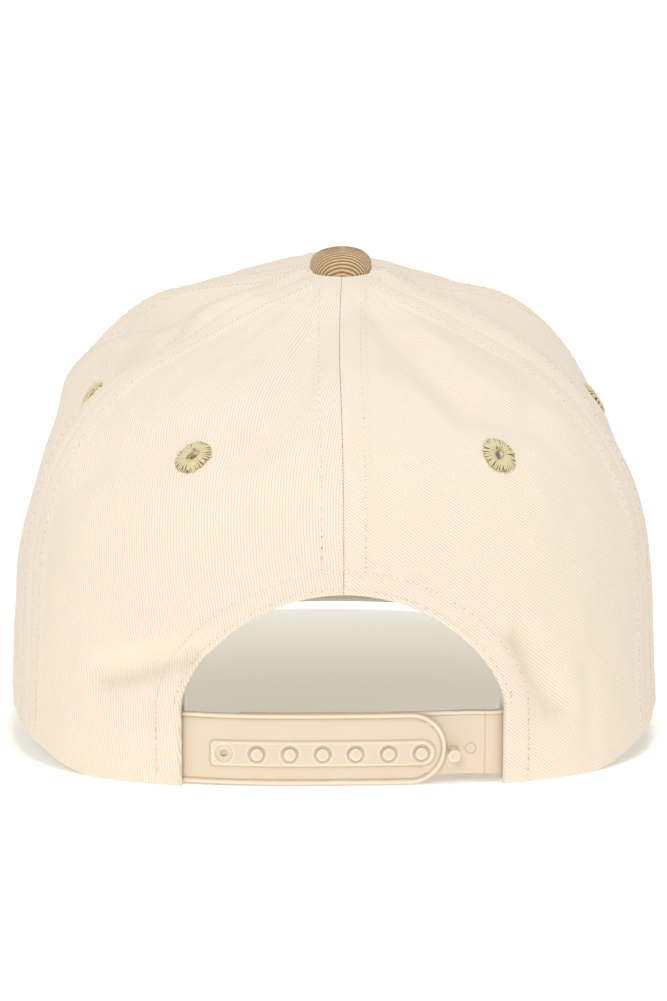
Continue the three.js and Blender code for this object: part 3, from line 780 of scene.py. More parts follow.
def cloth_relief(azimuth, run, r, panel):
    """Fine relief of the outer face: seam allowances, stitch rows and small unevenness."""
    seam = nearest_seam(azimuth, r, panel)
    raised = 0.4 * (1 - smoothstep(seam, ROW_FROM_SEAM + 0.4, ROW_FROM_SEAM + 2.0))
    dips = 0.08 * bell(seam, ROW_FROM_SEAM, 0.6) + 0.25 * bell(seam, 0, 0.9)
    pucker = 0.05 * np.sin(run * 2 * math.pi / 5.2 + azimuth) * bell(seam, ROW_FROM_SEAM, 3.0)
    if panel["arch"]:
        arch = arch_distance(crown_point(azimuth, run))
        turned = 0.5 * (1 - smoothstep(arch, ROW_FROM_ARCH + 0.2, ROW_FROM_ARCH + 1.5))
        raised = np.maximum(raised, turned)
        dips = dips + 0.08 * bell(arch, ROW_FROM_ARCH, 0.6)
        dips = dips + 0.05 * bell(arch, EDGE_ROW_FROM_ARCH, 0.5)
    wave = (
        0.10 * np.sin(azimuth * 0.53 + run * 0.11 + 0.4)
        + 0.08 * np.sin(azimuth * -0.31 + run * 0.23 + 1.9)
        + 0.05 * np.sin(azimuth * 0.95 - run * 0.29 + 3.1)
    )
    relief = raised - dips + pucker + wave * smoothstep(seam, 2, 12)
    return relief * smoothstep(r, BUTTON_RADIUS, BUTTON_CLEAR)


def cloth_height(azimuth, run):
    """Height of the fine relief at places that all lie on one panel."""
    turned = (azimuth + 180) % 360 - 180
    middle = float(np.mean(turned))
    panel = next(panel for panel in PANELS if panel["from"] <= middle <= panel["to"])
    return cloth_relief(turned, run, Section(turned).point(run)[0], panel)


EYE_HOLE = 1.9


def panel_piece(panel):
    azimuth, run, there = (arch_lattice if panel["arch"] else plain_lattice)(panel)
    section = Section(azimuth)
    r = section.point(run)[0]
    curl = np.maximum(
        edge_curl(run - hem_run(section, azimuth), EDGE_ROUND),
        edge_curl(nearest_seam(azimuth, r, panel), SEAM_ROUND),
    )
    curl = np.maximum(curl, edge_curl(r - APEX_HOLE, EDGE_ROUND))
    if panel["arch"]:
        edge = arch_distance(crown_point(azimuth, run, -WALL / 2))
        curl = np.maximum(curl, edge_curl(edge, EDGE_ROUND))
    fine = cloth_relief(azimuth, run, r, panel)
    outer = crown_point(azimuth, run, fine * (1 - curl) - curl * WALL / 2)
    inner = crown_point(azimuth, run, -WALL + curl * WALL / 2)
    u = -(azimuth - (panel["from"] + panel["to"]) / 2) * RAD * r
    cos, sin = math.cos(panel["weave"] * RAD), math.sin(panel["weave"] * RAD)
    uv = np.stack([u * cos + run * sin, run * cos - u * sin], -1).reshape(-1, 2)
    faces = grid_faces(*azimuth.shape)
    faces = faces[there.reshape(-1)[faces].all(1)]
    eye_azimuth, eye_run = panel["eyelet"]
    across = (azimuth - eye_azimuth) * RAD * radius_at(eye_azimuth, eye_run)
    from_eye = np.hypot(across, run - eye_run).reshape(-1)
    faces = faces[~(from_eye[faces] < EYE_HOLE).all(1)]
    rim = rim_edges(faces)
    at_eye = (from_eye[rim] < 2 * EYE_HOLE).all(1)
    back = other_skin(azimuth.size, np.unique(rim[~at_eye]))
    walls = directed_walls(faces, rim[at_eye], azimuth.size)
    shape = two_skins(outer, inner, np.concatenate([uv, uv]), faces, back, walls)
    name = panel["name"]
    piece = add_piece("cloth_panel_" + name, shape, "cloth", CLOTH, "panel_" + name)
    # The inner faces get the darker twill: painted shade inside the crown.
    second_material(piece, SHADED_LINING, len(faces), 2 * len(faces))


for panel in PANELS:
    panel_piece(panel)


# Stitches

TUBE_SIDES = 6

# A stitch's points: place along it, height over the cloth and width
STITCH_ALONG = np.array([-0.5, -0.42, -0.25, 0.0, 0.25, 0.42, 0.5])
STITCH_HEIGHT = np.array([-1.4, -0.5, 0.25, 0.5, 0.25, -0.5, -1.4])
STITCH_WIDTH = np.array([0.35, 0.8, 1.0, 1.0, 1.0, 0.8, 0.35])


def tube_along(path, radius, uv_start=0.0):
    """A closed tube along points, with a radius at each of them."""
    tangent = unit(np.gradient(path, axis=0))
    guide = np.array([0.0, 0.0, 1.0])
    if abs(tangent[0] @ guide) > 0.9:
        guide = np.array([0.0, 1.0, 0.0])
    side = unit(np.cross(tangent, guide))
    up = np.cross(side, tangent)
    a = np.arange(TUBE_SIDES)
    turn = (a * 2 * math.pi / TUBE_SIDES)[:, None]
    ring = side[:, None] * np.cos(turn) + up[:, None] * np.sin(turn)
    points = path[:, None] + ring * radius[:, None, None]
    walked = walk(path) + uv_start
    uv = np.stack(np.broadcast_arrays(walked[:, None], a / TUBE_SIDES), -1)
    k = np.arange(len(path) - 1)[:, None] * TUBE_SIDES
    b = (a + 1) % TUBE_SIDES
    faces = np.stack([k + a, k + b, k + TUBE_SIDES + b, k + TUBE_SIDES + a], -1).reshape(-1, 4)
    end = np.array([[0, m + 1, m + 2, m + 3] for m in range(0, TUBE_SIDES - 2, 2)])
    faces = np.concatenate([faces, end[:, ::-1], end + (len(path) - 1) * TUBE_SIDES])
    return points.reshape(-1, 3), faces, uv.reshape(-1, 2)


def stitch_parts(azimuth, run, jitter, seed):
    """Stitches laid along a line on the cloth, and the places where they dive into it."""
    walked = walk(crown_point(azimuth, run))
    line = (azimuth, run, cloth_height(azimuth, run))
    random = np.random.default_rng(seed)
    stitches, dives = [], []
    for k in range(int(walked[-1] / STITCH_PITCH)):
        centre = (k + 0.5) * STITCH_PITCH + random.uniform(-1, 1) * jitter
        at = centre + STITCH_ALONG * STITCH_LENGTH
        a, r, surface = (np.interp(at, walked, row) for row in line)
        stand = surface + 0.02 + STITCH_HEIGHT * STITCH_RADIUS
        stitches.append(tube_along(crown_point(a, r, stand), STITCH_WIDTH * STITCH_RADIUS))
        dives.append([np.interp((k + 1) * STITCH_PITCH, walked, row) for row in line])
    return stitches, dives


def shade_dot_parts(places, radius, seed):
    """Small khaki dots: painted shade in needle holes and along the middle seam's line."""
    random = np.random.default_rng(seed)
    ring = np.arange(6)
    after = (ring + 1) % 6
    turn = (ring * math.pi / 3)[:, None]
    top = np.stack([0 * ring, after + 1, ring + 1], -1)
    foot = np.stack([0 * ring + 7, ring + 1, after + 1], -1)
    faces = np.concatenate([top, foot])
    parts = []
    for azimuth, run, surface in places:
        at, side, up, out = crown_frame(azimuth, run, surface)
        size = radius * random.uniform(0.75, 1.2)
        rim = at + size * (side * np.cos(turn) + up * np.sin(turn)) - out * 0.12
        points = np.stack([at + out * 0.18, *rim, at - out * 0.3])
        parts.append((points, faces, points[:, :2] * 0.7))
    return parts


def seam_row(seam, offset, top_radius, start=None):
    """Azimuths and runs of a line beside a seam, from the hem to near the button."""
    foot = np.array(float(seam))
    section = Section(foot)
    start = float(hem_run(section, foot)) + 1.0 if start is None else start
    run = np.linspace(start, float(section.run_at_radius(top_radius)), 260)
    azimuth = np.full(len(run), float(seam))
    for _ in range(6):
        r = Section(azimuth).point(run)[0]
        azimuth = seam + np.degrees(np.arcsin(np.clip(offset / r, -0.99, 0.99)))
    return azimuth, run


def arch_row(offset, side, foot):
    x, z = arch_outline(offset, foot)
    straight = np.linspace(z[-2], foot, 40)[1:]
    x = np.append(x[:-1], np.full(len(straight), x[-1]))
    z = np.append(z[:-1], straight)
    return locate(side * x, z)


def stitch_rows():
    top = float(Section(np.array(0.0)).run_at_radius(8.9))
    # Painted shade along the middle seam: khaki dots close together on its line.
    run = np.arange(float(locate(0.01, ARCH_TOP + 0.8)[1]), top, 0.95)
    small_shade_dots = list(zip(0 * run, run, cloth_height(0 * run + 0.01, run)))
    stitches, shade_dots, rows = [], [], []
    over_arch = float(locate(6.3, ARCH_TOP + 6.0)[1])
    crossing = ROW_FROM_SEAM / math.sin(30.5 * RAD) + 0.5
    for seam in (0, SIDE_SEAM, FRONT_SEAM, 180, -FRONT_SEAM, -SIDE_SEAM):
        ends = (crossing,) if seam else (10.6, over_arch)
        for offset in (-ROW_FROM_SEAM, ROW_FROM_SEAM):
            rows.append((seam_row(seam, offset, *ends), 0.12, shade_dots))
    for side in (1, -1):
        rows.append((arch_row(ROW_FROM_ARCH, side, 1.2), 0.1, shade_dots))
        rows.append((arch_row(EDGE_ROW_FROM_ARCH, side, EDGE_ROW_FOOT), 0.1, small_shade_dots))
    for seed, (line, jitter, row_shade_dots) in enumerate(rows, 11):
        parts, dives = stitch_parts(*line, jitter, seed)
        stitches += parts
        row_shade_dots += dives
    add_piece("topstitches", joined(stitches), "thread", SEAM_THREAD)
    # Khaki dots of painted shade in the needle holes and along the middle seam.
    parts = shade_dot_parts(shade_dots, 0.24, 5) + shade_dot_parts(small_shade_dots, 0.26, 6)
    add_piece("stitch_shade_dots", joined(parts), "thread", PAINTED_SHADE_DOTS)


stitch_rows()


# Eyelets

EYELET_STRANDS = 54
EYELET_TALLNESS = 1.15
EYELET_SLIT = {"long": 1.45, "short": 0.95, "turn": 40}

# A strand's points: reach from the hole to its outer end, height over the cloth and width
STRAND_REACH = np.array([0.0, 0.02, 0.1, 0.28, 0.5, 0.72, 0.9, 1.0])
STRAND_HEIGHT = np.array([-1.5, -0.5, 0.25, 0.62, 0.7, 0.55, 0.22, -0.25])
STRAND_WIDTH = np.array([0.7, 0.75, 0.8, 0.95, 1.0, 1.0, 0.8, 0.35])
STRAND_RADIUS = 0.25

# The lining's rows: out from the hole's edge and height over the cloth, back to the first one
LINING_ROWS = [
    (0.0, 0.3), (0.0, -1.7), (0.75, -1.75), (0.8, 0.1), (3.15, 0.14), (3.3, -0.3), (0.0, 0.3)
]
LINING_SIDES = 40


def slit_radius(turn):
    away = turn - EYELET_SLIT["turn"] * RAD
    return 1 / np.hypot(np.cos(away) / EYELET_SLIT["long"], np.sin(away) / EYELET_SLIT["short"])


def eyelet_piece(panel, seed):
    """A ring of thread worked round a small hole: strands from the hole out over the cloth."""
    middle, height = panel["eyelet"]
    base_r = radius_at(middle, height)
    random = np.random.default_rng(seed)

    def on_cloth(radius, turn, lift):
        azimuth = middle - radius * np.cos(turn) / base_r / RAD
        run = height + EYELET_TALLNESS * radius * np.sin(turn)
        return crown_point(azimuth, run, lift + cloth_height(azimuth, run))

    parts = []
    for k in range(EYELET_STRANDS):
        turn = (k + random.uniform(-0.25, 0.25)) * 2 * math.pi / EYELET_STRANDS
        inner = slit_radius(turn)
        ragged = 0.75 if math.cos(turn - 130 * RAD) > 0.35 else 1.35
        outer = EYELET_RADIUS - 0.25 + ragged * random.uniform(-0.35, 0.4)
        width = STRAND_WIDTH * random.uniform(0.88, 1.12)
        bend = turn + 0.1 * random.uniform(-1, 1) * STRAND_REACH
        lift = STRAND_HEIGHT + random.uniform(-0.06, 0.06)
        path = on_cloth(inner + (outer - inner) * STRAND_REACH, bend, lift)
        parts.append(tube_along(path, width * STRAND_RADIUS, random.uniform(0, 40)))
    turn = (np.arange(LINING_SIDES) * 2 * math.pi / LINING_SIDES)[:, None]
    out, lift = np.array(LINING_ROWS).T
    points = on_cloth(slit_radius(turn) + out, turn, lift)
    uv = np.stack(np.broadcast_arrays(np.arange(len(out)) * 0.6, turn), -1)
    faces = grid_faces(LINING_SIDES, len(out), ring=True)
    lining = (points.reshape(-1, 3), faces, uv.reshape(-1, 2))
    place = panel["name"]
    add_piece("embroidery_" + place, joined(parts), "thread", EYELET_THREAD, "eyelet_" + place)
    add_piece("eyelet_lining_" + place, lining, "thread", EYELET_LINING)


for seed, panel in enumerate(PANELS, 100):
    eyelet_piece(panel, seed)


# Button


def button_piece():
    """The cloth-covered dome: u and v are measured over its surface, so its ribs run across it."""
    sides, rings = 96, 34
    turn = np.arange(sides)[:, None] * 360 / sides
    azimuth = np.where(turn > 180, turn - 360, turn)
    sin, cos = np.sin(azimuth * RAD), np.cos(azimuth * RAD)
    roof = CROWN_HEIGHT - BUTTON_RADIUS * np.tan(table_value(SECTIONS, "roof", azimuth) * RAD)
    rim = roof + BUTTON_SEAT
    lean = np.linspace(0, 1, rings) * math.pi * 0.57
    radius = BUTTON_RADIUS * np.abs(np.sin(np.minimum(lean, math.pi / 2))) ** 0.72
    radius = radius - 4.5 * np.maximum(lean - math.pi / 2, 0)
    rise = np.cos(lean)
    drop = CROWN_HEIGHT + BUTTON_HEIGHT - rim
    z = np.maximum(rim + drop * np.sign(rise) * np.abs(rise) ** 0.92, rim - 0.5)
    walked = walk(np.stack([radius, drop.mean() * rise], -1))
    rib = 0.05 * np.sin(2 * math.pi * walked * cos / RIB_PITCH)
    r = radius + rib * 0.5
    points = settle(r * sin + aside(r), r * cos, z + rib).reshape(-1, 3)
    centre = settle(aside(0), 0, rim.mean() - 0.6)
    uv = np.stack([walked * sin, walked * cos], -1).reshape(-1, 2)
    last = np.arange(sides) * rings + rings - 1
    middle = np.full(sides, sides * rings)
    fan = np.stack([last, np.roll(last, -1), middle, middle], -1)
    faces = np.concatenate([at_poles(grid_faces(sides, rings, ring=True), rings, 0), fan])
    shape = tidied(np.append(points, [centre], 0), faces, np.append(uv, [[0, 0]], 0))
    add_piece("covered_button", shape, "peak_cloth", BUTTON_CLOTH, "button")


button_piece()


# Peak

PEAK_ROWS = (6.5, 16.5, 26.5, 36.5, 46.5, 56.5)
PEAK_EDGE_SHARES = (0.976, 0.982, 0.987, 0.991, 0.994, 0.9965, 0.9985, 0.9995, 1.0)


def peak_places(u, share, under):
    """Places on the peak: u runs from side to side and share from the hem to the front edge."""
    azimuth = 180 + u * PEAK_SPREAD
    signed = np.where(azimuth > 180, azimuth - 360, azimuth)
    section = Section(signed, WALL / 2)
    start = crown_point(signed, hem_run(section, signed), 0, WALL / 2)
    turn = 0.995 * u * math.pi / 2
    power = 2 / PEAK_SQUARENESS
    end_x = -np.sign(turn) * PEAK_HALF_WIDTH * np.abs(np.sin(turn)) ** power
    end_y = -PEAK_CORNER - (PEAK_FRONT - PEAK_CORNER) * np.cos(turn) ** power + SHIFT_Y
    across, along = end_x - start[..., 0], end_y - start[..., 1]
    x = start[..., 0] + across * share
    y = start[..., 1] + along * share
    whole = np.hypot(across, along)
    out = whole * share
    droop = PEAK_DROOP_MIDDLE + PEAK_DROOP_SIDE * (x / PEAK_HALF_WIDTH) ** 2
    top = table_value(HEM, "height", signed) - GAP - out * droop
    curl = edge_curl(whole - out, 1.5) * PEAK_THICKNESS / 2
    floor = np.maximum(top - PEAK_THICKNESS, 0) + curl
    z = floor if under else np.maximum(top - curl, floor + 0.02)
    return np.stack(np.broadcast_arrays(x, y, z), -1), whole


def peak_piece():
    share = np.concatenate([np.linspace(0, 0.97, 63), PEAK_EDGE_SHARES])
    u, share = np.meshgrid(np.linspace(-1, 1, 150), share, indexing="ij")
    top, whole = peak_places(u, share, False)
    under, _whole = peak_places(u, share, True)
    for row in PEAK_ROWS:
        top[..., 2] -= 0.18 * bell(whole * (1 - share), row, 0.6)
    uv = np.stack([top[..., 1], top[..., 0]], -1).reshape(-1, 2)
    faces = grid_faces(*u.shape)
    index = np.arange(u.size).reshape(u.shape)
    back = other_skin(u.size, index[:, -1])
    ends = [wall_faces(index[0], back), wall_faces(index[-1], back)[:, ::-1]]
    brown = faces.tolist() + tidy_faces(np.concatenate(ends))
    pale = back[faces][:, ::-1].tolist() + wall_faces(index[:, 0], back)[:, ::-1].tolist()
    points = np.concatenate([top.reshape(-1, 3), under.reshape(-1, 3)])
    shape = (points, brown + pale, np.concatenate([uv, uv]))
    piece = add_piece("covered_peak", shape, "peak_cloth", PEAK_CLOTH, "peak")
    second_material(piece, UNDER_CLOTH, len(brown), len(brown) + len(pale))


def peak_stitches():
    stitches = []
    u = np.linspace(-0.995, 0.995, 900)
    whole = peak_places(u, np.ones(len(u)), False)[1]
    for row in PEAK_ROWS:
        share = 1 - row / whole
        shown = share > 0.04
        line = peak_places(u[shown], share[shown], False)[0]
        walked = walk(line)
        for k in range(int(walked[-1] / PEAK_STITCH_PITCH)):
            at = (k + 0.5) * PEAK_STITCH_PITCH + STITCH_ALONG * PEAK_STITCH_LENGTH
            path = np.stack([np.interp(at, walked, axis) for axis in line.T], -1)
            path[:, 2] += STITCH_HEIGHT * PEAK_STITCH_RADIUS - 0.02
            stitches.append(tube_along(path, STITCH_WIDTH * PEAK_STITCH_RADIUS))
    add_piece("peak_stitches", joined(stitches), "thread", EYELET_THREAD)


peak_piece()
peak_stitches()


# Sweatband


def sweatband_piece():
    turn = np.linspace(BAND_END, 360 - BAND_END, 420)
    azimuth = np.where(turn > 180, turn - 360, turn)[:, None]
    away = np.abs(azimuth)
    base = WALL + GAP + BAND_STEP_DEPTH * (1 - smoothstep(away, BAND_STEP_FROM, BAND_STEP_TO))
    sag = BAND_SAG * smoothstep(away, BAND_SAG_FROM, BAND_SAG_TO)
    up = BAND_WIDTH * np.linspace(0, 1, 30)
    run = hem_run(Section(azimuth, WALL + GAP), azimuth, BAND_RISE - sag) + up
    curl = np.maximum(edge_curl(up, 0.6), edge_curl(BAND_WIDTH - up, 0.6)) * BAND_THICKNESS / 2
    dip = 0.2 * bell(up, 3.0, 0.5) + 0.2 * bell(up, BAND_WIDTH - 3.0, 0.5)
    wave = 0.12 * np.sin(azimuth * 0.8 + up * 0.1) * smoothstep(up, 4, 12)
    outer = crown_point(azimuth, run, -(base + curl))
    inner = crown_point(azimuth, run, -(base + BAND_THICKNESS - curl) + dip + wave)
    for end in (0, -1):
        outer[end] = (outer[end] + inner[end]) / 2
    uv = np.stack(np.broadcast_arrays(azimuth * RAD * 86, run), -1).reshape(-1, 2)
    index = np.arange(run.size).reshape(run.shape)
    back = other_skin(run.size, index[:, 0], index[:, -1], index[0], index[-1])
    shape = two_skins(outer, inner, np.concatenate([uv, uv]), grid_faces(*run.shape), back)
    add_piece("lining_band", shape, "band_cloth", BAND_CLOTH, "sweatband")


sweatband_piece()


# Snap closure

SNAP_PLACES = [SNAP_FIRST - k * SNAP_PITCH for k in range(SNAP_COUNT)]
SNAP_SEAT = 2.3
RIM_STEPS = np.array([0, 0.08, 0.2, 0.38, 0.6, 0.8, 0.95, 1.1, 1.25, 1.45])


def strap_point(x, out, z):
    """A settled point of a strap that follows the inside of the crown."""
    inside = WALL + GAP
    across = np.abs(x) / (HALF_WIDTH - inside)
    back = (HALF_DEPTH - inside) * (1 - across**BACK_SQUARENESS) ** (1 / BACK_SQUARENESS)
    inward = STRAP_THICKNESS + RELIEF_HEIGHT + z * math.tan(STRAP_LEAN * RAD)
    return settle(x, back - inward + out, z)


def strap_retreat(x):
    return (STRAP_THICKNESS + GAP) * smoothstep(x, PEG_STRAP_RAMP_FROM, PEG_STRAP_RAMP_TO)


def painted_light_uv(painted_light):
    """The uv of both skins: the painted highlight and shade on the front one and 0 on the back."""
    uv = np.zeros((2 * painted_light.size, 2))
    uv[: painted_light.size, 0] = painted_light.ravel()
    return uv


def box_distance(x, z, low_x, high_x, low_z, high_z, low_round, high_round):
    """Distance inside a plate's outline, with its own corner radius at either end."""
    low_half = x < (low_x + high_x) / 2
    corner = np.where(low_half, low_round, high_round)
    reach = np.where(low_half, low_x + corner - x, x - (high_x - corner))
    rise = np.abs(z - (low_z + high_z) / 2) - ((high_z - low_z) / 2 - corner)
    outside = np.hypot(np.maximum(reach, 0), np.maximum(rise, 0))
    return corner - outside - np.minimum(np.maximum(reach, rise), 0)


def hole_radius(place):
    """The hole without a peg shows narrower, at the bottom of its cone."""
    return 0.95 if place == SNAP_FIRST else 1.32


def hole_strap_piece():
    middle = (STRAP_BOTTOM + STRAP_TOP) / 2
    half = (STRAP_TOP - STRAP_BOTTOM) / 2
    centre = STRAP_ROUND_END + half
    turn = np.linspace(0, math.pi / 2, 64)
    x = np.concatenate([
        centre - half * np.cos(turn),
        np.arange(centre + 0.2, 36, 0.2),
        np.linspace(36.2, STRAP_ANCHOR, 18),
    ])[:, None]
    width = np.concatenate([half * np.sin(turn), np.full(len(x) - len(turn), half)])[:, None]
    rise = np.concatenate([
        STRAP_BOTTOM + RIM_STEPS, np.linspace(3.5, 6.3, 5), np.arange(6.5, 13.8, 0.2),
        np.linspace(14.0, 19.2, 8), STRAP_TOP - RIM_STEPS[::-1],
    ])
    z = middle + (rise - middle) / half * width
    for place in SNAP_PLACES:
        for radius in (hole_radius(place), SNAP_SEAT):
            away = np.hypot(x - place, z - SNAP_HEIGHT)
            near = np.abs(away - radius) < 0.13
            scale = np.where(near, radius / np.maximum(away, 1e-6), 1)
            x = place + (x - place) * scale
            z = SNAP_HEIGHT + (z - SNAP_HEIGHT) * scale
    inside = box_distance(
        x, z, STRAP_ROUND_END, STRAP_ANCHOR + 9, STRAP_BOTTOM, STRAP_TOP, half, 0.1
    )
    panel = box_distance(
        x, z, SNAP_PANEL_FROM, SNAP_PANEL_TO, SNAP_HEIGHT - SNAP_PANEL_HALF_HEIGHT,
        SNAP_HEIGHT + SNAP_PANEL_HALF_HEIGHT, SNAP_PANEL_HALF_HEIGHT, 1.1,
    )
    relief = 1 - smoothstep(inside, RIM_WIDTH - 0.1, RIM_WIDTH + 0.25)
    relief = np.maximum(relief, smoothstep(panel, -0.05, 0.3))
    snap = np.full(x.shape, 99.0)
    in_hole = np.zeros(x.shape, bool)
    for place in SNAP_PLACES:
        away = np.hypot(x - place, z - SNAP_HEIGHT)
        snap = np.minimum(snap, away)
        in_hole |= away < hole_radius(place) + 0.01
    face = STRAP_THICKNESS + RELIEF_HEIGHT * relief + 0.12 * bell(snap, 2.6, 0.25)
    cone = STRAP_THICKNESS + RELIEF_HEIGHT - 0.12 - 0.3 * smoothstep(2.35 - snap, 0, 1.0)
    face = np.where(snap < SNAP_SEAT + 0.01, cone, face)
    # Painted highlight on the rim, just inside the snap panel's border and round each seat; painted
    # shade just inside the rim, outside the panel and at each seat's edge.
    painted_light = 0.9 * bell(inside, 0.62, 0.3) - 0.9 * bell(inside, 1.42, 0.22)
    painted_light = painted_light + 0.8 * bell(panel, 0.4, 0.22) - 0.7 * bell(panel, -0.25, 0.2)
    painted_light = painted_light + 0.6 * bell(snap, 2.7, 0.22) - 0.3 * bell(snap, 2.25, 0.2)
    curl = edge_curl(inside, 0.45) * face / 2
    faces = grid_faces(*x.shape)
    faces = faces[~in_hole.reshape(-1)[faces].all(1)]
    index = np.arange(x.size).reshape(x.shape)
    back = other_skin(x.size, index[:, 0], index[:, -1], index[0])
    rim = rim_edges(faces)
    walls = directed_walls(faces, rim[(snap.reshape(-1)[rim] < 1.7).all(1)], x.size)
    skins = strap_point(x, face - curl, z), strap_point(x, curl, z), painted_light_uv(painted_light)
    shape = two_skins(*skins, faces, back, walls, wall_faces(index[-1], back)[:, ::-1])
    add_piece("snap_strap_holes", tidied(*shape), "strap_plastic", STRAP_PLASTIC, "strap_holes")


# A peg's profile of radius and height, without its foot, and its painted light with the foot: a
# painted highlight round the head's rim and painted shade down its side and neck.
PEG_PROFILE = [(0.0, 1.0), (0.5, 0.99), (0.95, 0.94), (1.3, 0.83), (1.55, 0.66), (1.68, 0.42),
               (1.66, 0.18), (1.5, 0.0), (1.25, -0.1), (1.2, -0.3)]
PEG_PAINTED_LIGHT = [0.1, 0.1, 0.2, 0.6, 0.5, 0.0, -0.2, -0.3, -0.3, -0.3, -0.2, -0.2, -0.2]
PEG_SIDES = 28


def peg_parts(x, length, droop):
    """A peg with a domed snap head, standing out from the inner strap and drooping a little."""
    foot = [(1.25, -length + 0.4), (1.5, -length), (0.0, -length)]
    radius, out = np.array(PEG_PROFILE + foot).T
    turn = (np.arange(PEG_SIDES) * 2 * math.pi / PEG_SIDES)[:, None]
    side, up = radius * np.cos(turn), radius * np.sin(turn)
    reach = out + length + STRAP_THICKNESS - strap_retreat(x)
    lower = -droop * np.clip(out + length, 0, 9)
    points = strap_point(x - side, reach - 0.2, SNAP_HEIGHT + up + lower).reshape(-1, 3)
    uv = np.stack(np.broadcast_arrays(PEG_PAINTED_LIGHT, 0 * side), -1).reshape(-1, 2)
    rows = len(out)
    return points, at_poles(grid_faces(PEG_SIDES, rows, ring=True), rows, 0, rows - 1), uv


def peg_strap_piece():
    x = np.concatenate([
        np.linspace(-STRAP_ANCHOR, -42, 12)[:-1],
        np.arange(-42, -30, 0.15),
        np.linspace(-30, PEG_STRAP_END, 90),
    ])
    rise = np.concatenate([
        PEG_STRAP_BOTTOM + RIM_STEPS, np.linspace(5.2, 8.0, 5), np.arange(8.2, 13.6, 0.18),
        np.linspace(13.9, 19.0, 8), PEG_STRAP_TOP - RIM_STEPS[::-1],
    ])
    x, z = np.meshgrid(x, rise, indexing="ij")
    top = PEG_STRAP_TOP - z
    relief = 0.35 * (1 - smoothstep(top, 0.95, 1.25)) * (1 - smoothstep(x, -31.0, -27.0))
    mark = np.hypot(x + 33.8, z - 10.4)
    relief = relief + 0.12 * bell(mark, 1.35, 0.18) - 0.10 * (1 - smoothstep(mark, 1.0, 1.3))
    relief = relief - 0.1 * bell(x, -37.5, 0.2) + 0.06 * bell(x, -36.9, 0.25)
    # Painted highlight under the top edge and painted shade below it; painted shade round the mould
    # ring with a highlight inside it, and a line of painted shade at the step.
    painted_light = 0.8 * bell(top, 0.5, 0.28) - 0.8 * bell(top, 1.2, 0.2)
    painted_light = painted_light - 0.7 * bell(mark, 1.35, 0.16) + 0.4 * bell(mark, 1.05, 0.16)
    painted_light = painted_light - 0.5 * bell(x, -37.5, 0.16)
    retreat = strap_retreat(x)
    curl = edge_curl(np.minimum(top, z - PEG_STRAP_BOTTOM), 0.4) * STRAP_THICKNESS / 2
    front = strap_point(x, STRAP_THICKNESS + relief - retreat - curl, z)
    back_side = strap_point(x, -retreat + curl, z)
    for edge in (0, -1):
        front[:, edge] = (front[:, edge] + back_side[:, edge]) / 2
    index = np.arange(x.size).reshape(x.shape)
    back = other_skin(x.size, index[:, 0], index[:, -1])
    ends = wall_faces(index[0], back), wall_faces(index[-1], back)[:, ::-1]
    shape = two_skins(front, back_side, painted_light_uv(painted_light), grid_faces(*x.shape), back, *ends)
    add_piece("snap_strap_pegs", tidied(*shape), "strap_plastic", STRAP_PLASTIC, "strap_pegs")
    pegs = []
    for hole in SNAP_PLACES:
        place = hole - SNAP_PITCH
        free = place < STRAP_ROUND_END
        pegs.append(peg_parts(place, 2.9 if free else 2.15, 0.22 if free else 0.02))
    add_piece("snap_pegs", tidied(*joined(pegs)), "strap_plastic", STRAP_PLASTIC)


hole_strap_piece()
peg_strap_piece()


# Floor, lights and camera

CAMERA_AZIMUTH = 178
CAMERA_ELEVATION = 9.6
CAMERA_DISTANCE = 1111
CAMERA_LENS = 143.3
CAMERA_AIM = (-0.14, SHIFT_Y + 7.98, 63.5)

# The cap stands on a softly glowing white surface. Sizes and places are metres here.
FLOOR_HALF = 6.0
FLOOR_GLOW = 0.37
FLOOR_GLOW_TINT = (1.0, 0.97, 0.87, 1)
FAR_GLOW_TINT = (1.6, 1.6, 1.6, 1)
LIGHT_AIM = Vector((0, 0.03, 0.06))


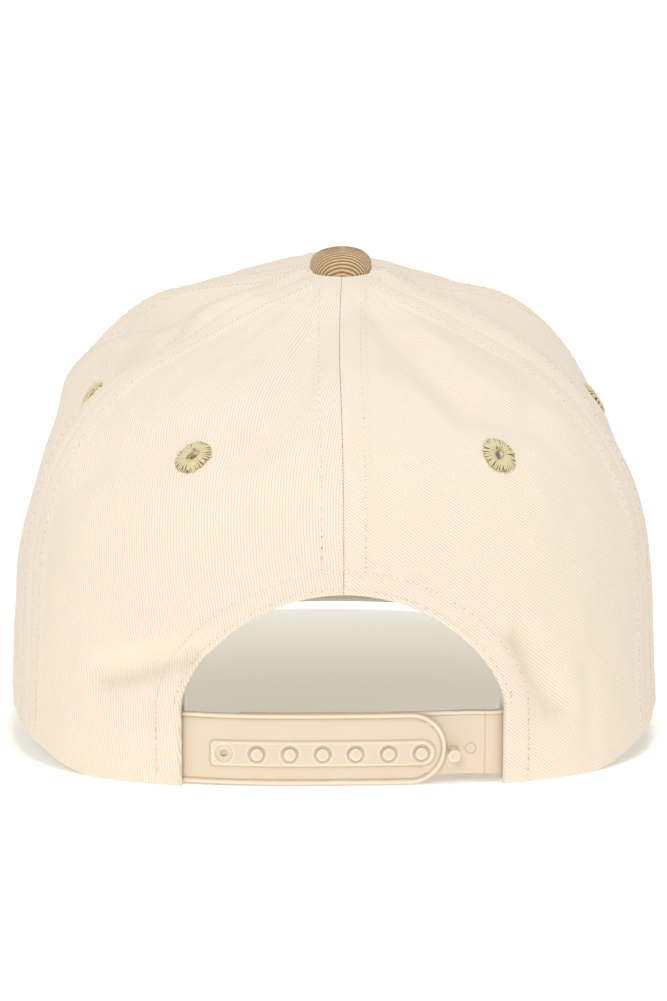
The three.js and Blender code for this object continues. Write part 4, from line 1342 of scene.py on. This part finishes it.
def floor():
    mesh = bpy.data.meshes.new("floor")
    corners = [(x * FLOOR_HALF, y * FLOOR_HALF, 0) for x, y in ((-1, -1), (1, -1), (1, 1), (-1, 1))]
    mesh.from_pydata(corners, [], [(0, 1, 2, 3)])
    nodes = Nodes("floor_white")
    where = nodes.add("ShaderNodeTexCoord").outputs["Object"]
    cloud = nodes.noise(where, 3.0, 2.0)
    far = nodes.line(nodes.add("ShaderNodeSeparateXYZ", {0: where}).outputs[1], -0.5, -0.4)
    far = nodes.math("MINIMUM", nodes.math("MAXIMUM", far, 0.0), 1.0)
    nodes.shade(
        Base_Color=nodes.mix(cloud, (0.93, 0.93, 0.93, 1), (0.95, 0.95, 0.945, 1)),
        Roughness=0.8, Specular_IOR_Level=0.1,
        Emission_Color=nodes.mix(far, FLOOR_GLOW_TINT, FAR_GLOW_TINT),
        Emission_Strength=FLOOR_GLOW,
    )
    mesh.materials.append(nodes.material)
    in_scene("floor", mesh)


def area_light(name, place, power, tint=(1, 1, 1)):
    light = bpy.data.lights.new(name, "AREA")
    light.shape = "DISK"
    light.size = 0.8
    light.energy = power
    light.color = tint
    lamp = in_scene(name, light)
    lamp.location = place
    lamp.rotation_euler = (LIGHT_AIM - Vector(place)).to_track_quat("-Z", "Y").to_euler()


def studio():
    world = bpy.data.worlds.new("studio")
    bpy.context.scene.world = world
    world.use_nodes = True
    background = world.node_tree.nodes["Background"]
    background.inputs["Color"].default_value = (0.96, 0.98, 1.0, 1)
    background.inputs["Strength"].default_value = 0.5
    area_light("key", (0.6, 2.0, 1.25), 12.0, (1.0, 0.98, 0.955))
    area_light("top", (-0.1, 0.4, 2.2), 18.6)
    bpy.context.scene.view_settings.view_transform = "Standard"
    bpy.context.scene.view_settings.look = "None"


def camera():
    turn, tilt = CAMERA_AZIMUTH * RAD, CAMERA_ELEVATION * RAD
    level = math.cos(tilt)
    away = Vector((math.sin(turn) * level, -math.cos(turn) * level, math.sin(tilt)))
    data = bpy.data.cameras.new("camera")
    data.lens = CAMERA_LENS
    data.sensor_width = 36
    data.clip_start = 0.05
    data.clip_end = 60
    lens = in_scene("camera", data)
    lens.location = (Vector(CAMERA_AIM) + away * CAMERA_DISTANCE) * MM
    lens.rotation_euler = away.to_track_quat("Z", "Y").to_euler()
    bpy.context.scene.camera = lens


floor()
studio()
camera()
